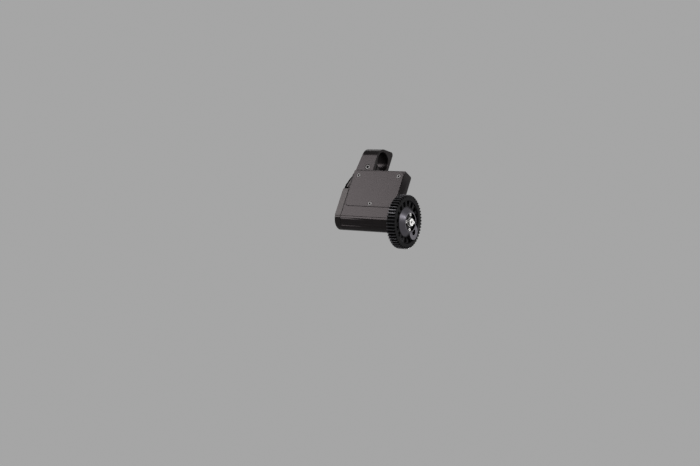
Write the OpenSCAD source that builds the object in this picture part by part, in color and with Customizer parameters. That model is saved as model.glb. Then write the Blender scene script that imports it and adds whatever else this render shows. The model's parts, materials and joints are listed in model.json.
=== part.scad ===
// Lens iris motor: a rod-mounted gear motor for turning the rings of a lens.
// X runs along the support rod towards the gear, Z runs from the motor up to the rod,
// and the origin is on the rod's axis at the middle of the clamp.

/* [Rod clamp] */
// Diameter of the support rod that the clamp holds
rod_d = 15; // [12:0.5:19]
// Radial clearance between the rod and the open clamp
rod_fit = 0.05; // [0.02:0.01:0.15]
// Length of the clamp along the rod
clamp_len = 14.2; // [13:0.2:20]
// Wall of the clamp ring on the near side
clamp_wall = 2.45; // [2:0.05:4]
// Far face of the clamp block, from the bore's wall
clamp_back_wall = 2.95; // [2.5:0.05:5]
// Wall above the rod at the raised far corner
clamp_top_wall = 5.4; // [4.6:0.1:8]
// Material between the rod and the housing
clamp_foot = 5.65; // [5.5:0.05:8]
// How far the foot runs back behind the clamp ring
foot_flare = 1.8; // [0.6:0.1:2]
// Break at both mouths of the rod bore
mouth_chamfer = 0.5; // [0.2:0.1:1]
// Width of the slit that lets the clamp close
slit_w = 1.2; // [0.8:0.1:2]
// Thickness of the sprung jaw beside the slit
jaw_t = 3.4; // [3:0.1:4]

/* [Clamp screw and lever] */
// Thread diameter of the clamp screw
clamp_screw_d = 4; // [3:0.5:4]
// Thread pitch of the clamp screw
clamp_screw_pitch = 0.7; // [0.5:0.1:0.8]
// Place of the clamp screw along the rod
clamp_screw_x = 1.2; // [0:0.1:1.4]
// Wall between the rod bore and the clamp screw's hole
clamp_screw_wall = 0.4; // [0.3:0.05:0.5]
// Outer diameter of the lever's boss
lever_boss_d = 9.6; // [8:0.2:12]
// Length of the lever's boss along the screw
lever_boss_len = 7.4; // [6:0.2:10]
// Reach of the lever's arm from the screw
lever_reach = 16.5; // [12:0.5:22]
// Thickness of the lever's arm
lever_arm_t = 3.6; // [2.5:0.1:5]
// Width of the lever's arm at its tip
lever_tip_d = 5.2; // [4:0.2:7]
// Thickness of the washer under the lever
lever_washer_t = 0.8; // [0.5:0.1:1.2]

/* [Housing] */
// Rear end of the main housing
housing_rear_x = -9.3; // [-10:0.1:-9.3]
// Front face of the main housing
housing_front_x = 37.6; // [37.6:0.1:40]
// Distance of the near face from the rod's axis
body_near = 10.3; // [10.2:0.1:11]
// Depth of the flat upper box
box_depth = 12.3; // [12:0.1:14]
// Rounding of the box's upper far edge
box_round = 4; // [2:0.5:5]
// Drop of the gear's axis below the rod's axis
axis_drop = 51.8; // [51.8:0.1:60]
// Radius of the round lower barrel
barrel_r = 9.2; // [8.8:0.1:10]
// Wall of the housing round its hollows
housing_wall = 1.2; // [1:0.1:1.6]
// Thickness of the wall that carries the front bearing
front_wall = 4.6; // [4.6:0.1:6]
// Break on the upright edge at the front of the near face
edge_break = 0.4; // [0.2:0.1:0.5]
// Rounding of the upright edge at the front of the far face
far_round = 2.8; // [1:0.1:2.8]
// Width of the groove along both sides of the barrel
groove_w = 0.5; // [0.3:0.1:0.8]
// Depth of that groove
groove_t = 0.4; // [0.2:0.1:0.6]
// Drop of the groove below the gear's axis
groove_drop = 1.6; // [1:0.1:2]
// Height of the flat lip under the groove
lip_h = 1.2; // [0.8:0.1:1.6]

/* [Rear cap] */
// Thickness of the rear cap
cap_len = 5.5; // [5:0.1:8]
// Thickness of the gasket in front of the cap
gasket_t = 0.4; // [0.3:0.1:0.8]
// Radius of the large curve at the cap's upper corner
cap_curve_r = 31.7; // [28:0.1:40]
// Drop below the rod at which that curve ends
cap_curve_drop = 34; // [32:0.5:38]
// Depth of the shoulder recess in the cap's near face
shoulder_t = 0.9; // [0.4:0.1:1.2]
// Drop of the shoulder's step below the rod
shoulder_drop = 29.7; // [26:0.1:34]
// Rounding of the barrel's lower rear edge
rear_round_r = 0.6; // [0.3:0.1:1.2]
// Thickness of the cap's rear wall
cap_wall = 1.6; // [1.2:0.1:2]
// Thread diameter of the cap's screws
cap_screw_d = 2; // [1.6:0.2:2]
// Length of the cap's screws under their heads
cap_screw_len = 6; // [5:0.5:7]

/* [Cover plate] */
// Width of the cover plate along the rod
plate_w = 45.1; // [43:0.1:45.1]
// Height of the cover plate
plate_h = 30.8; // [28:0.1:31]
// Thickness of the cover plate
plate_t = 1.4; // [1:0.1:2]
// How far the plate stands proud of the housing
plate_proud = 0.3; // [0.1:0.1:0.6]
// Corner radius of the cover plate
plate_round = 3.2; // [2:0.2:4]
// Gap round the plate's edge
plate_gap = 0.25; // [0.15:0.05:0.4]
// Thickness of the gasket under the plate
plate_gasket_t = 0.4; // [0.3:0.1:0.6]
// Thread diameter of the plate's screws
plate_screw_d = 2; // [1.6:0.2:2]
// Head diameter of the plate's screws
plate_head_d = 3.4; // [3:0.1:3.8]
// Inset of the two upper screws from the plate's edges
plate_screw_inset = 4; // [3.4:0.1:4.4]
// Inset of the lower screw from the plate's lower edge
lower_screw_inset = 2.4; // [2.2:0.1:2.8]
// Length of the plate's screws
plate_screw_len = 4.8; // [4:0.2:4.8]

/* [Connectors] */
// Outer diameter of a connector's shell
socket_d = 8.4; // [8:0.1:8.6]
// Inner diameter of a connector's mouth
socket_bore = 6.6; // [6:0.1:7]
// Depth of the mouth in front of the pins' insert
socket_depth = 6.4; // [5.6:0.2:7]
// Thickness of the insulating insert
insert_t = 2; // [1.4:0.2:3]
// Drop of the upper connector below the rod
socket_drop = 27; // [26:0.2:28]
// Distance between the two connectors
socket_pitch = 11.6; // [11:0.1:12]
// Number of contact pins on the ring in each connector
pin_ring_count = 6; // [4:1:8]
// Diameter of a contact pin
pin_d = 0.5; // [0.4:0.05:0.7]

/* [Drive gear] */
// Module of the teeth, for lens rings of the same module
gear_module = 0.8; // [0.4:0.1:0.8]
// Number of teeth
gear_teeth = 50; // [48:1:64]
// Face width of the gear
gear_w = 7; // [7:0.1:12]
// Running gap between the housing and the gear
gear_gap = 2.4; // [0.6:0.1:3]
// Break at both ends of the teeth
tooth_break = 0.5; // [0.2:0.1:0.8]
// Thickness of the rim under the teeth
rim_t = 2.6; // [2:0.1:3]
// Thickness of the gear's web
web_t = 3.4; // [3:0.1:4.5]
// Recess of the web behind the rim's front
web_recess = 1.1; // [0.6:0.1:2]
// Number of windows in the web
window_count = 16; // [12:1:18]
// Radial height of a window
window_h = 4.2; // [3:0.1:4.5]
// Share of each window's pitch that is open, in percent
window_open = 62; // [45:1:70]

/* [Hub] */
// Radius of the hub's cone where it meets the web
cone_base_r = 11.4; // [10.6:0.1:11.4]
// Radius of the hub's cone at its front
cone_top_r = 8; // [7.6:0.1:8.6]
// Height of the cone in front of the web
cone_h = 3.4; // [3:0.1:5]
// Width of the lip round the front recess
lip_w = 0.7; // [0.5:0.1:1]
// Depth of the front recess
hub_recess = 1.3; // [0.8:0.1:1.6]
// Radius of the sleeve that carries the gear
sleeve_r = 4.3; // [4.2:0.1:4.6]
// Radius of the circle of the hub's screws
hub_screw_circle = 5.8; // [5.7:0.05:6]
// Turn of the hub's screws round the gear's axis
hub_screw_turn = 23; // [0:1:45]
// Thread diameter of the hub's screws
hub_screw_d = 1.6; // [1.4:0.1:1.8]
// Distance of the side boss from the gear's axis
side_boss_x = 10.2; // [9.8:0.1:10.6]
// Turn of the side boss round the gear's axis
side_boss_turn = -24; // [-40:1:-10]
// Outer radius of the side boss
side_boss_r = 5.8; // [4:0.1:6]
// Radius of the hole in the side boss
side_hole_r = 2.3; // [1.8:0.1:2.4]
// Height of the side boss in front of the web
side_boss_h = 2.6; // [1.5:0.1:3]

/* [Output shaft] */
// Diameter of the output shaft
shaft_d = 5; // [4:0.5:5]
// Length of the key between shaft and hub
key_len = 5; // [4:0.5:6]
// Width of that key
key_w = 1.5; // [1:0.1:1.5]
// Thread diameter of the screw in the shaft's end
centre_screw_d = 2.5; // [2:0.5:3]
// Head diameter of the screw in the shaft's end
centre_head_d = 6; // [5:0.2:6]
// Head height of the screw in the shaft's end
centre_head_h = 1.8; // [1.4:0.1:2.4]

/* [Bearings] */
// Outer diameter of the ball bearings
bearing_d = 9; // [9:0.5:10]
// Width of the ball bearings
bearing_w = 3; // [2.5:0.5:3]
// Diameter of the balls
ball_d = 1; // [0.8:0.05:1.1]
// Number of balls in a bearing
ball_count = 8; // [6:1:9]
// Clearance round the balls
ball_fit = 0.03; // [0.02:0.01:0.05]

/* [Gearbox] */
// Module of the gearbox's teeth
box_module = 0.3; // [0.28:0.01:0.31]
// Teeth of each sun pinion
sun_teeth = 12; // [12:3:12]
// Teeth of each planet
planet_teeth = 15; // [15:3:15]
// Number of planets in each stage
planet_count = 3; // [3:1:3]
// Play taken off each tooth's thickness
tooth_play = 0.06; // [0.04:0.01:0.08]
// Face width of the second stage's planets
planet_two_w = 5; // [4:0.5:5]
// Face width of the first stage's planets
planet_one_w = 4.4; // [3.4:0.5:4.4]
// Thickness of the carrier plates
carrier_t = 1.5; // [1.2:0.1:1.6]
// Diameter of the planets' pins
planet_pin_d = 1.6; // [1.4:0.1:1.8]
// Running clearance between a planet and its pin
pin_fit = 0.03; // [0.02:0.01:0.05]
// Thickness of the plate between motor and gearbox
motor_plate_t = 2; // [1.6:0.1:2.4]

/* [Motor] */
// Radius of the motor and gearbox cartridge
cartridge_r = 7.45; // [7.4:0.05:7.5]
// Radial clearance of the cartridge in the barrel
cartridge_fit = 0.05; // [0.03:0.01:0.1]
// Wall of the motor's can
can_wall = 0.7; // [0.5:0.1:0.9]
// Thickness of the magnet
magnet_t = 1.3; // [1:0.1:1.6]
// Air gap between magnet and rotor
air_gap = 0.35; // [0.25:0.05:0.5]
// Length of the rotor's core
core_len = 8.4; // [7:0.2:8.4]
// Number of poles of the rotor
pole_count = 5; // [3:2:7]
// Diameter of the rotor's shaft
rotor_shaft_d = 1.5; // [1.2:0.1:1.5]
// Thickness of the motor's end cap
end_cap_t = 1.6; // [1.2:0.1:2]
// Diameter of the commutator
commutator_d = 3.6; // [3:0.2:4.2]
// Radius of the encoder's disc
encoder_r = 4.6; // [4:0.1:5]

/* [Circuit board] */
// Thickness of the circuit boards
board_t = 1; // [0.8:0.1:1.2]
// Distance of the main board from the far wall
board_lift = 1.5; // [1:0.1:2]
// Margin between the main board and the housing's walls
board_margin = 0.6; // [0.4:0.1:1]

/* [Hidden] */
$fn = 64;

// A hair's breadth between pieces that are pressed or screwed together
seat = 0.01;
// Radial running fit of shafts and screws that turn
run_fit = 0.03;
// Radial clearance of screws and shells in plain holes
hole_fit = 0.1;
// Spare depth of a blind hole past the end of its screw
hole_spare = 0.4;
// Thickness of metal left round a small screw's hole
screw_wall = 1;
// Overshoot of cutting tools past the face that they cut
cut = 0.5;

// Rod clamp
bore_r = rod_d / 2 + rod_fit;
ring_r = bore_r + clamp_wall;
clamp_half = clamp_len / 2;
clamp_near = ring_r;
clamp_back = bore_r + clamp_back_wall;
clamp_rise = bore_r + clamp_top_wall;
housing_drop = bore_r + clamp_foot;
clamp_corner_r = 2.4;
clamp_corner = [clamp_back - clamp_corner_r, clamp_rise - clamp_corner_r];
clamp_tangent = atan2(clamp_corner[1], clamp_corner[0])
    + acos((ring_r - clamp_corner_r) / norm(clamp_corner));
flat_rise = 1.5;
jaw_y = -clamp_near + jaw_t;
clamp_screw_r = clamp_screw_d / 2;
clamp_screw_z = -(bore_r + clamp_screw_wall + clamp_screw_r);
mount_screw_d = 2.5;
mount_screw_r = mount_screw_d / 2;
mount_screw_inset = 1.75;
mount_screw_x = clamp_half - mount_screw_inset;
mount_screw_reach = 4;
mount_head_h = 1.5;
mount_head_r = 2.2;
mount_head_gap = 0.2;
mount_screw_y = -body_near + box_depth - housing_wall - mount_head_r - mount_head_gap;
mount_hex_w = 2;
mount_hex_t = 0.9;
jaw_lift = 0.4;
lead_in = 0.4;
clamp_screw_y0 = -clamp_near + hole_fit;
clamp_hex_w = clamp_screw_r;
clamp_hex_t = 1.3;
washer_play = 0.05;
lever_washer_y = clamp_back + washer_play;
lever_y0 = lever_washer_y + lever_washer_t;
lever_y1 = lever_y0 + lever_boss_len;
lever_edge = 0.7;
lever_boss_r = lever_boss_d / 2;
lever_washer_r = lever_boss_r - 0.3;
lever_arm_y = lever_y1 - lever_arm_t - lever_edge;
lever_dish_wall = 2.4;
lever_dish_r = lever_boss_r - lever_dish_wall;
lever_dish_t = 1;
lever_taper = 0.72;
lever_cap_t = 2.2;
clamp_screw_y1 = lever_y1 - lever_cap_t;

// Housing
near_y = -body_near;
far_y = near_y + box_depth;
top_z = -housing_drop;
axis_z = -axis_drop;
axis_y = near_y + barrel_r;
barrel_bore_r = cartridge_r + cartridge_fit;
front_wall_x = housing_front_x - front_wall;
groove_z = axis_z - groove_drop;
lip_z = groove_z - groove_w - lip_h;
lip_meet = 34;
roof_t = 2.4;
cavity_top = top_z - roof_t;
cavity_floor = axis_z + barrel_bore_r + housing_wall;
cavity_far = far_y - housing_wall;
cavity_front_wall = 3;
cavity_front = housing_front_x - cavity_front_wall;

// Rear cap
gasket_rear_x = housing_rear_x - gasket_t;
cap_rear_x = gasket_rear_x - cap_len;
cap_screw_r = cap_screw_d / 2;
cap_head_r = cap_screw_d * 0.9;
cap_head_h = 1.2;
cap_hex_w = 1.5;
cap_hex_t = 0.7;
cap_head_wall = 1.1;
cap_head_seat = gasket_rear_x - cap_head_wall;
cap_post_r = cap_screw_r + screw_wall;
cap_post_floor = 0.8;
cap_post_x = cap_head_seat + cap_screw_len + hole_spare + cap_post_floor;
cap_front_wall = 1;
gasket_inset = 0.3;
spigot_len = 0.9;
spigot_fit = 0.05;
spigot_wall = 1;
shoulder_front_wall = 0.6;
shoulder_x = gasket_rear_x - shoulder_front_wall;
cap_curve_x = cap_rear_x + cap_curve_r;

// Cover plate
plate_rear_gap = 1;
plate_x0 = housing_rear_x + plate_rear_gap;
plate_x1 = plate_x0 + plate_w;
plate_top_gap = 0.6;
plate_z1 = top_z - plate_top_gap;
plate_z0 = plate_z1 - plate_h;
plate_y0 = near_y - plate_proud;
plate_y1 = plate_y0 + plate_t;
plate_seat_y = plate_y1 + plate_gasket_t;
plate_border = 2;
plate_window_round = plate_round - 1;
plate_gasket_inset = 0.2;
plate_screw_r = plate_screw_d / 2;
plate_head_r = plate_head_d / 2;
plate_head_t = 0.8;
plate_head_proud = 0.15;
plate_hex_w = 1.5;
plate_hex_t = 0.6;
seat_ledge = 1;
cavity_near = plate_seat_y + seat_ledge;
plate_boss_r = plate_screw_r + 1.3;
plate_screws = [
    [plate_x0 + plate_screw_inset, plate_z1 - plate_screw_inset],
    [plate_x1 - plate_screw_inset, plate_z1 - plate_screw_inset],
    [(plate_x0 + plate_x1) / 2, plate_z0 + lower_screw_inset]
];

// Connectors
socket_r = socket_d / 2;
socket_y = (cavity_near + cavity_far) / 2;
socket_z = [for (k = [0, 1]) -socket_drop - k * socket_pitch];
socket_flange_t = 0.4;
socket_mouth_x = cap_rear_x - socket_flange_t;
socket_insert_x = socket_mouth_x + socket_depth;
socket_end_x = socket_insert_x + insert_t;
socket_flange_r = socket_r + 0.7;
socket_pad_r = socket_flange_r + 0.3;
pin_reach = 2.2;
pin_tail = 1.6;
pin_circle = socket_bore * 0.28;

// Places of the cap's screws: above, between and below the connectors
cap_screws = [
    [socket_y, socket_z[0] + socket_r + cap_screw_r + 1.3],
    [plate_seat_y + cap_screw_r + 0.5, (socket_z[0] + socket_z[1]) / 2],
    [far_y - cap_screw_r - 0.9, (socket_z[0] + socket_z[1]) / 2],
    [near_y + cap_screw_r + 1.2, plate_z0 - plate_gap - cap_screw_r - 0.2]
];

// Drive gear and hub
gear_rear_x = housing_front_x + gear_gap;
gear_front_x = gear_rear_x + gear_w;
gear_pitch_r = gear_module * gear_teeth / 2;
gear_tip_r = gear_pitch_r + gear_module;
gear_root_r = gear_pitch_r - 1.25 * gear_module;
gear_play = 0.1;
rim_inner_r = gear_root_r - rim_t;
web_front_x = gear_front_x - web_recess;
web_rear_x = web_front_x - web_t;
window_edge = 0.2;
window_outer_r = rim_inner_r - window_edge;
window_inner_r = window_outer_r - window_h;
window_turn = 360 / window_count;
cone_front_x = web_front_x + cone_h;
recess_floor_x = cone_front_x - hub_recess;
recess_r = cone_top_r - lip_w;
hub_rear_x = housing_front_x + 0.4;
hub_screw_r = hub_screw_d / 2;
hub_head_r = hub_screw_r + 0.45;
hub_head_h = 0.9;
hub_hex_w = 1.2;
hub_hex_t = 0.5;
hub_screw_x = web_rear_x + hole_spare;
hub_screw_count = 4;
boss_gap = 0.15;
side_y = side_boss_x * cos(side_boss_turn);
side_z = side_boss_x * sin(side_boss_turn);

// Output shaft, from the gearbox to the recess of the hub
shaft_r = shaft_d / 2;
shaft_edge = 0.4;
shaft_front_x = recess_floor_x - shaft_edge;
key_front_x = shaft_front_x - 1;
key_rear_x = key_front_x - key_len;
key_floor = shaft_r - key_w * 0.6;
key_top = shaft_r + key_w * 0.4;
centre_screw_r = centre_screw_d / 2;
centre_washer_t = 0.5;
centre_washer_r = centre_head_d / 2 + 0.3;
centre_screw_len = 6;
centre_head_edge = 0.3;
centre_head_x = recess_floor_x + centre_washer_t;
centre_hex_w = 2;
centre_hex_t = 1;

// Bearings
bearing_r = bearing_d / 2;
ball_r = ball_d / 2;
ball_circle = (bearing_r + shaft_r) / 2;
race_gap_half = 0.32;
retainer_t = 1;
cage_half = 0.75;
cage_wall = 0.2;
front_bearing_x = housing_front_x - retainer_t - bearing_w;
cartridge_front_x = front_wall_x - 0.2;
rear_bearing_x = cartridge_front_x - 0.4 - bearing_w;
bearing_x = [front_bearing_x, rear_bearing_x];
bearing_shoulder = 0.5;
retainer_screw_r = 0.7;
retainer_head_r = 1.3;
retainer_head_t = retainer_head_r - retainer_screw_r;
retainer_sink = 0.02;
retainer_screw_turn = 45;
retainer_screw_floor = 1.2;
retainer_screw_x = front_wall_x + retainer_screw_floor;
retainer_screw_circle = bearing_r + 1;
retainer_r = retainer_screw_circle + retainer_head_r;
retainer_screw_count = 4;

// Gearbox
ring_teeth = sun_teeth + 2 * planet_teeth;
planet_orbit = box_module * (sun_teeth + planet_teeth) / 2;
ring_turn = (planet_teeth % 2 == 0) ? 180 / ring_teeth : 0;
pinion_play = 0.25;
gap_x = 0.3;
nose_len = cartridge_front_x - rear_bearing_x + bearing_shoulder;
nose_rear_x = cartridge_front_x - nose_len;
carrier_two_x = nose_rear_x - gap_x - carrier_t;
planet_two_x = carrier_two_x - gap_x - planet_two_w;
carrier_one_x = planet_two_x - 2 * gap_x - carrier_t;
planet_one_x = carrier_one_x - gap_x - planet_one_w;
ring_rear_x = planet_one_x - 2 * gap_x;
motor_plate_x = ring_rear_x - motor_plate_t;
planet_pin_r = planet_pin_d / 2;
carrier_r = planet_orbit + planet_pin_r + 0.9;
pinion_neck_r = box_module * (sun_teeth / 2 - 1.1);
pin_overhang = 0.1;

// Motor
motor_front_x = motor_plate_x;
motor_rear_x = housing_rear_x + 1.2;
can_inner_r = cartridge_r - can_wall;
magnet_inner_r = can_inner_r - magnet_t;
core_r = magnet_inner_r - air_gap;
can_front_wall = 1;
core_room = 2.6;
core_front_x = motor_front_x - can_front_wall - core_room;
core_rear_x = core_front_x - core_len;
rotor_shaft_r = rotor_shaft_d / 2;
bush_wall = 1.4;
bush_r = rotor_shaft_r + bush_wall;
bush_inset = 0.7;
front_bush_out = 1.2;
lead_inset = 0.2;
magnet_over = 0.3;
can_rear_x = motor_rear_x + end_cap_t;
commutator_r = commutator_d / 2;
commutator_front_x = core_rear_x - 1;
commutator_len = 2.2;
commutator_rear_x = commutator_front_x - commutator_len;
brush_arm_z = commutator_r + 1.7;
brush_arm_w = 0.7;
brush_arm_t = 0.3;
brush_slot = 1;
brush_w = 1.6;
brush_len = 1.1;
brush_play = 0.05;
brush_overlap = 1.6;
brush_front_x = commutator_rear_x + brush_overlap;
pole_slot = 1;
winding_over = 0.8;
winding_fit = 0.05;
segment_gap = 0.24;
segment_gap_t = 0.4;
end_cap_collar = 1.4;
slot_floor_r = 2;
winding_hole_r = (core_r - slot_floor_r) / 2 - 0.35;
winding_circle = (core_r + slot_floor_r) / 2;
encoder_disc_t = 0.8;
encoder_way = 2.4;
encoder_foot_t = 0.3;
encoder_foot_w = 3;
encoder_gap = 0.5;
encoder_board_x = cap_rear_x + cap_wall + encoder_foot_t;
encoder_board_r = encoder_r + 0.5;
encoder_room_r = encoder_board_r + 0.2;
encoder_disc_x = encoder_board_x + board_t + encoder_gap;
rotor_rear_x = encoder_disc_x - hole_fit;
rotor_front_x = planet_one_x + planet_one_w - pinion_play;
motor_screw_r = 0.8;
motor_screw_circle = 4.6;
motor_head_r = 1.44;
motor_head_h = 0.8;
motor_head_x = motor_plate_x + 1;

// Main board
board_far_y = cavity_far - board_lift;
board_near_y = board_far_y - board_t;
board_x0 = max(socket_end_x + pin_tail, cap_post_x) + board_margin;
board_x1 = cavity_front - board_margin;
board_z1 = cavity_top - mount_head_h - board_margin;
board_z0 = cavity_floor + board_margin;
board_screw_r = 0.8;
board_head_r = 1.44;
board_head_h = 0.8;
board_post_r = 1.7;
board_skin = 0.4;
board_clear = 0.3;
board_screw_inset = 4;
board_screw_x = [board_x0 + board_screw_inset, board_x1 - board_screw_inset];
board_screw_rise = 8;
board_screw_z = (board_z0 + board_z1) / 2 + board_screw_rise;
plug_inset = 1;
plug_lift = 3;
plug_x0 = board_x0 + plug_inset;
plug_z0 = board_z0 + plug_lift;
// Chips on the board: distance from its rear end and its foot, length, height and thickness
chips = [[12, 5, 7, 7, 1], [22, 4, 5, 5, 1.2], [30, 12, 4, 6, 0.9]];
plug_t = 2.4;
plug_w = 4;
plug_h = 7;

// Motor leads, from a notch in the motor's end cap to the board's plug
lead_t = 0.6;
lead_pitch = 1;
lead_room = 0.3;
lead_mid_y = board_near_y - plug_t / 2;
lead_rear_x = motor_rear_x + lead_inset;
lead_notch_t = 2;
lead_foot_z = axis_z + cartridge_r - lead_notch_t;
lead_slot_z = cavity_floor - lead_t - lead_room;
lead_rise_x = socket_end_x + pin_tail + hole_spare;
lead_plug_z = plug_z0 + lead_t;

// Bodies of revolution and prisms along the three axes

module rod_x(x0, x1, r, r2 = -1)
    translate([x0, 0, 0]) rotate([0, 90, 0])
        cylinder(h = x1 - x0, r1 = r, r2 = r2 < 0 ? r : r2);

module rod_y(y0, y1, r, r2 = -1)
    translate([0, y0, 0]) rotate([-90, 0, 0])
        cylinder(h = y1 - y0, r1 = r, r2 = r2 < 0 ? r : r2);

module rod_z(z0, z1, r, r2 = -1)
    translate([0, 0, z0]) cylinder(h = z1 - z0, r1 = r, r2 = r2 < 0 ? r : r2);

module tube_x(x0, x1, outer, inner)
    difference() {
        rod_x(x0, x1, outer);
        rod_x(x0 - cut, x1 + cut, inner);
    }

module block(x0, x1, y0, y1, z0, z1)
    translate([x0, y0, z0]) cube([x1 - x0, y1 - y0, z1 - z0]);

// A flat outline in Y and Z, drawn out along X
module prism_x(x0, x1)
    translate([x0, 0, 0]) rotate([90, 0, 90]) linear_extrude(x1 - x0) children();

// A flat outline in X and Z, drawn out along Y
module prism_y(y0, y1)
    translate([0, y1, 0]) rotate([90, 0, 0]) linear_extrude(y1 - y0) children();

module rounded_rect(a0, a1, b0, b1, r) {
    translate([a0 + r, b0]) square([a1 - a0 - 2 * r, b1 - b0]);
    translate([a0, b0 + r]) square([a1 - a0, b1 - b0 - 2 * r]);
    for (a = [a0 + r, a1 - r], b = [b0 + r, b1 - r])
        translate([a, b]) circle(r);
}

module on_axis() translate([0, axis_y, axis_z]) children();

module ring_of(count, circle_r, turn = 0)
    for (k = [0 : count - 1])
        rotate([turn + k * 360 / count, 0, 0]) translate([0, circle_r, 0]) children();

// Hexagon socket sunk into a screw's head, whose face is at the distance along the turned Z
module hex_socket(turn, face, depth, across)
    rotate(turn) translate([0, 0, face - cut])
        cylinder(h = depth + cut, r = across / 2 / cos(30), $fn = 6);

// Tooth outlines

function involute(base, t) = [
    base * (cos(t) + t * PI / 180 * sin(t)),
    base * (sin(t) - t * PI / 180 * cos(t))
];
function involute_turn(base, r) = sqrt(max(0, pow(r / base, 2) - 1)) * 180 / PI;
function polar(r, a) = [r * cos(a), r * sin(a)];
function turned(p, a) = [p[0] * cos(a) - p[1] * sin(a), p[0] * sin(a) + p[1] * cos(a)];
function mirrored(points) = [for (k = [len(points) - 1 : -1 : 0]) [points[k][0], -points[k][1]]];

// One flank of a tooth that points along the first axis, from its root to its tip
function flank(base, root, tip, half_turn, steps) =
    let(low = max(root, base))
    let(t0 = involute_turn(base, low), t1 = involute_turn(base, tip))
    concat(
        root < base ? [turned([root, 0], -half_turn)] : [],
        [for (k = [0 : steps]) turned(involute(base, t0 + (t1 - t0) * k / steps), -half_turn)]
    );

module gear_outline(m, teeth, tip, root, play, steps = 3, pressure = 20) {
    pitch = m * teeth / 2;
    base = pitch * cos(pressure);
    at_pitch = involute_turn(base, pitch);
    rolled = at_pitch - atan(at_pitch * PI / 180);
    half_turn = 90 / teeth - play / pitch * 90 / PI + rolled;
    side = flank(base, root, tip, half_turn, steps);
    tooth = concat(side, mirrored(side));
    polygon([for (k = [0 : teeth - 1]) for (p = tooth) turned(p, k * 360 / teeth)]);
}

module pinion_outline(teeth)
    gear_outline(
        box_module, teeth,
        box_module * (teeth / 2 + 0.8), box_module * (teeth / 2 - 1.1), tooth_play
    );

module ring_outline()
    gear_outline(box_module, ring_teeth, box_module * (ring_teeth / 2 + 1.1),
        box_module * (ring_teeth / 2 - 0.8), -tooth_play);

function planet_place(k) = k * 360 / planet_count;
function planet_turn(k) =
    (1 + sun_teeth / planet_teeth) * planet_place(k) + 180 - 180 / planet_teeth;

// Housing

module body_outline() {
    translate([near_y, axis_z]) square([box_depth - box_round, top_z - axis_z]);
    translate([near_y, axis_z]) square([box_depth, top_z - axis_z - box_round]);
    translate([far_y - box_round, top_z - box_round]) circle(box_round);
    translate([axis_y, axis_z]) circle(barrel_r);
    polygon([
        [near_y, axis_z],
        [near_y, lip_z],
        [axis_y, axis_z] + polar(barrel_r, 180 + lip_meet),
        [axis_y, axis_z]
    ]);
}

module side_grooves(x0, x1) {
    block(x0, x1, near_y - cut, near_y + groove_t, groove_z - groove_w, groove_z);
    block(x0, x1, axis_y + sqrt(pow(barrel_r, 2) - pow(groove_drop, 2)) - groove_t, axis_y + barrel_r + cut,
        groove_z - groove_w, groove_z);
}

// Breaks the near upright edge at the front of the housing and rounds the far one
module front_edges()
    translate([0, 0, axis_z + barrel_r]) linear_extrude(top_z - axis_z - barrel_r + cut) {
        polygon([
            [housing_front_x + cut, near_y - cut],
            [housing_front_x + cut, near_y + edge_break],
            [housing_front_x, near_y + edge_break],
            [housing_front_x - edge_break, near_y],
            [housing_front_x - edge_break, near_y - cut]
        ]);
        difference() {
            translate([housing_front_x - far_round, far_y - far_round]) square(far_round + cut);
            translate([housing_front_x - far_round, far_y - far_round]) circle(far_round);
        }
    }

module at_cap_screws() for (p = cap_screws) translate([0, p[0], p[1]]) children();

module at_plate_screws() for (p = plate_screws) translate([p[0], 0, p[1]]) children();

module at_board_screws() for (x = board_screw_x) translate([x, 0, board_screw_z]) children();

module at_mount_screws()
    for (x = [-mount_screw_x, mount_screw_x]) translate([x, mount_screw_y, 0]) children();

module at_sockets() for (z = socket_z) translate([0, socket_y, z]) children();

module box_cavity() {
    block(housing_rear_x - cut, cavity_front, cavity_near, cavity_far, cavity_floor, cavity_top);
    prism_y(plate_seat_y - cut, cavity_near + seat)
        rounded_rect(plate_x0 + plate_border, plate_x1 - plate_border,
            plate_z0 + plate_border, plate_z1 - plate_border, plate_window_round);
}

// Posts in the box for the cap's screws, cut off at the housing's outer faces
module cap_screw_posts()
    intersection() {
        prism_x(housing_rear_x, cap_post_x) body_outline();
        at_cap_screws() rod_x(housing_rear_x, cap_post_x, cap_post_r);
    }

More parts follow.
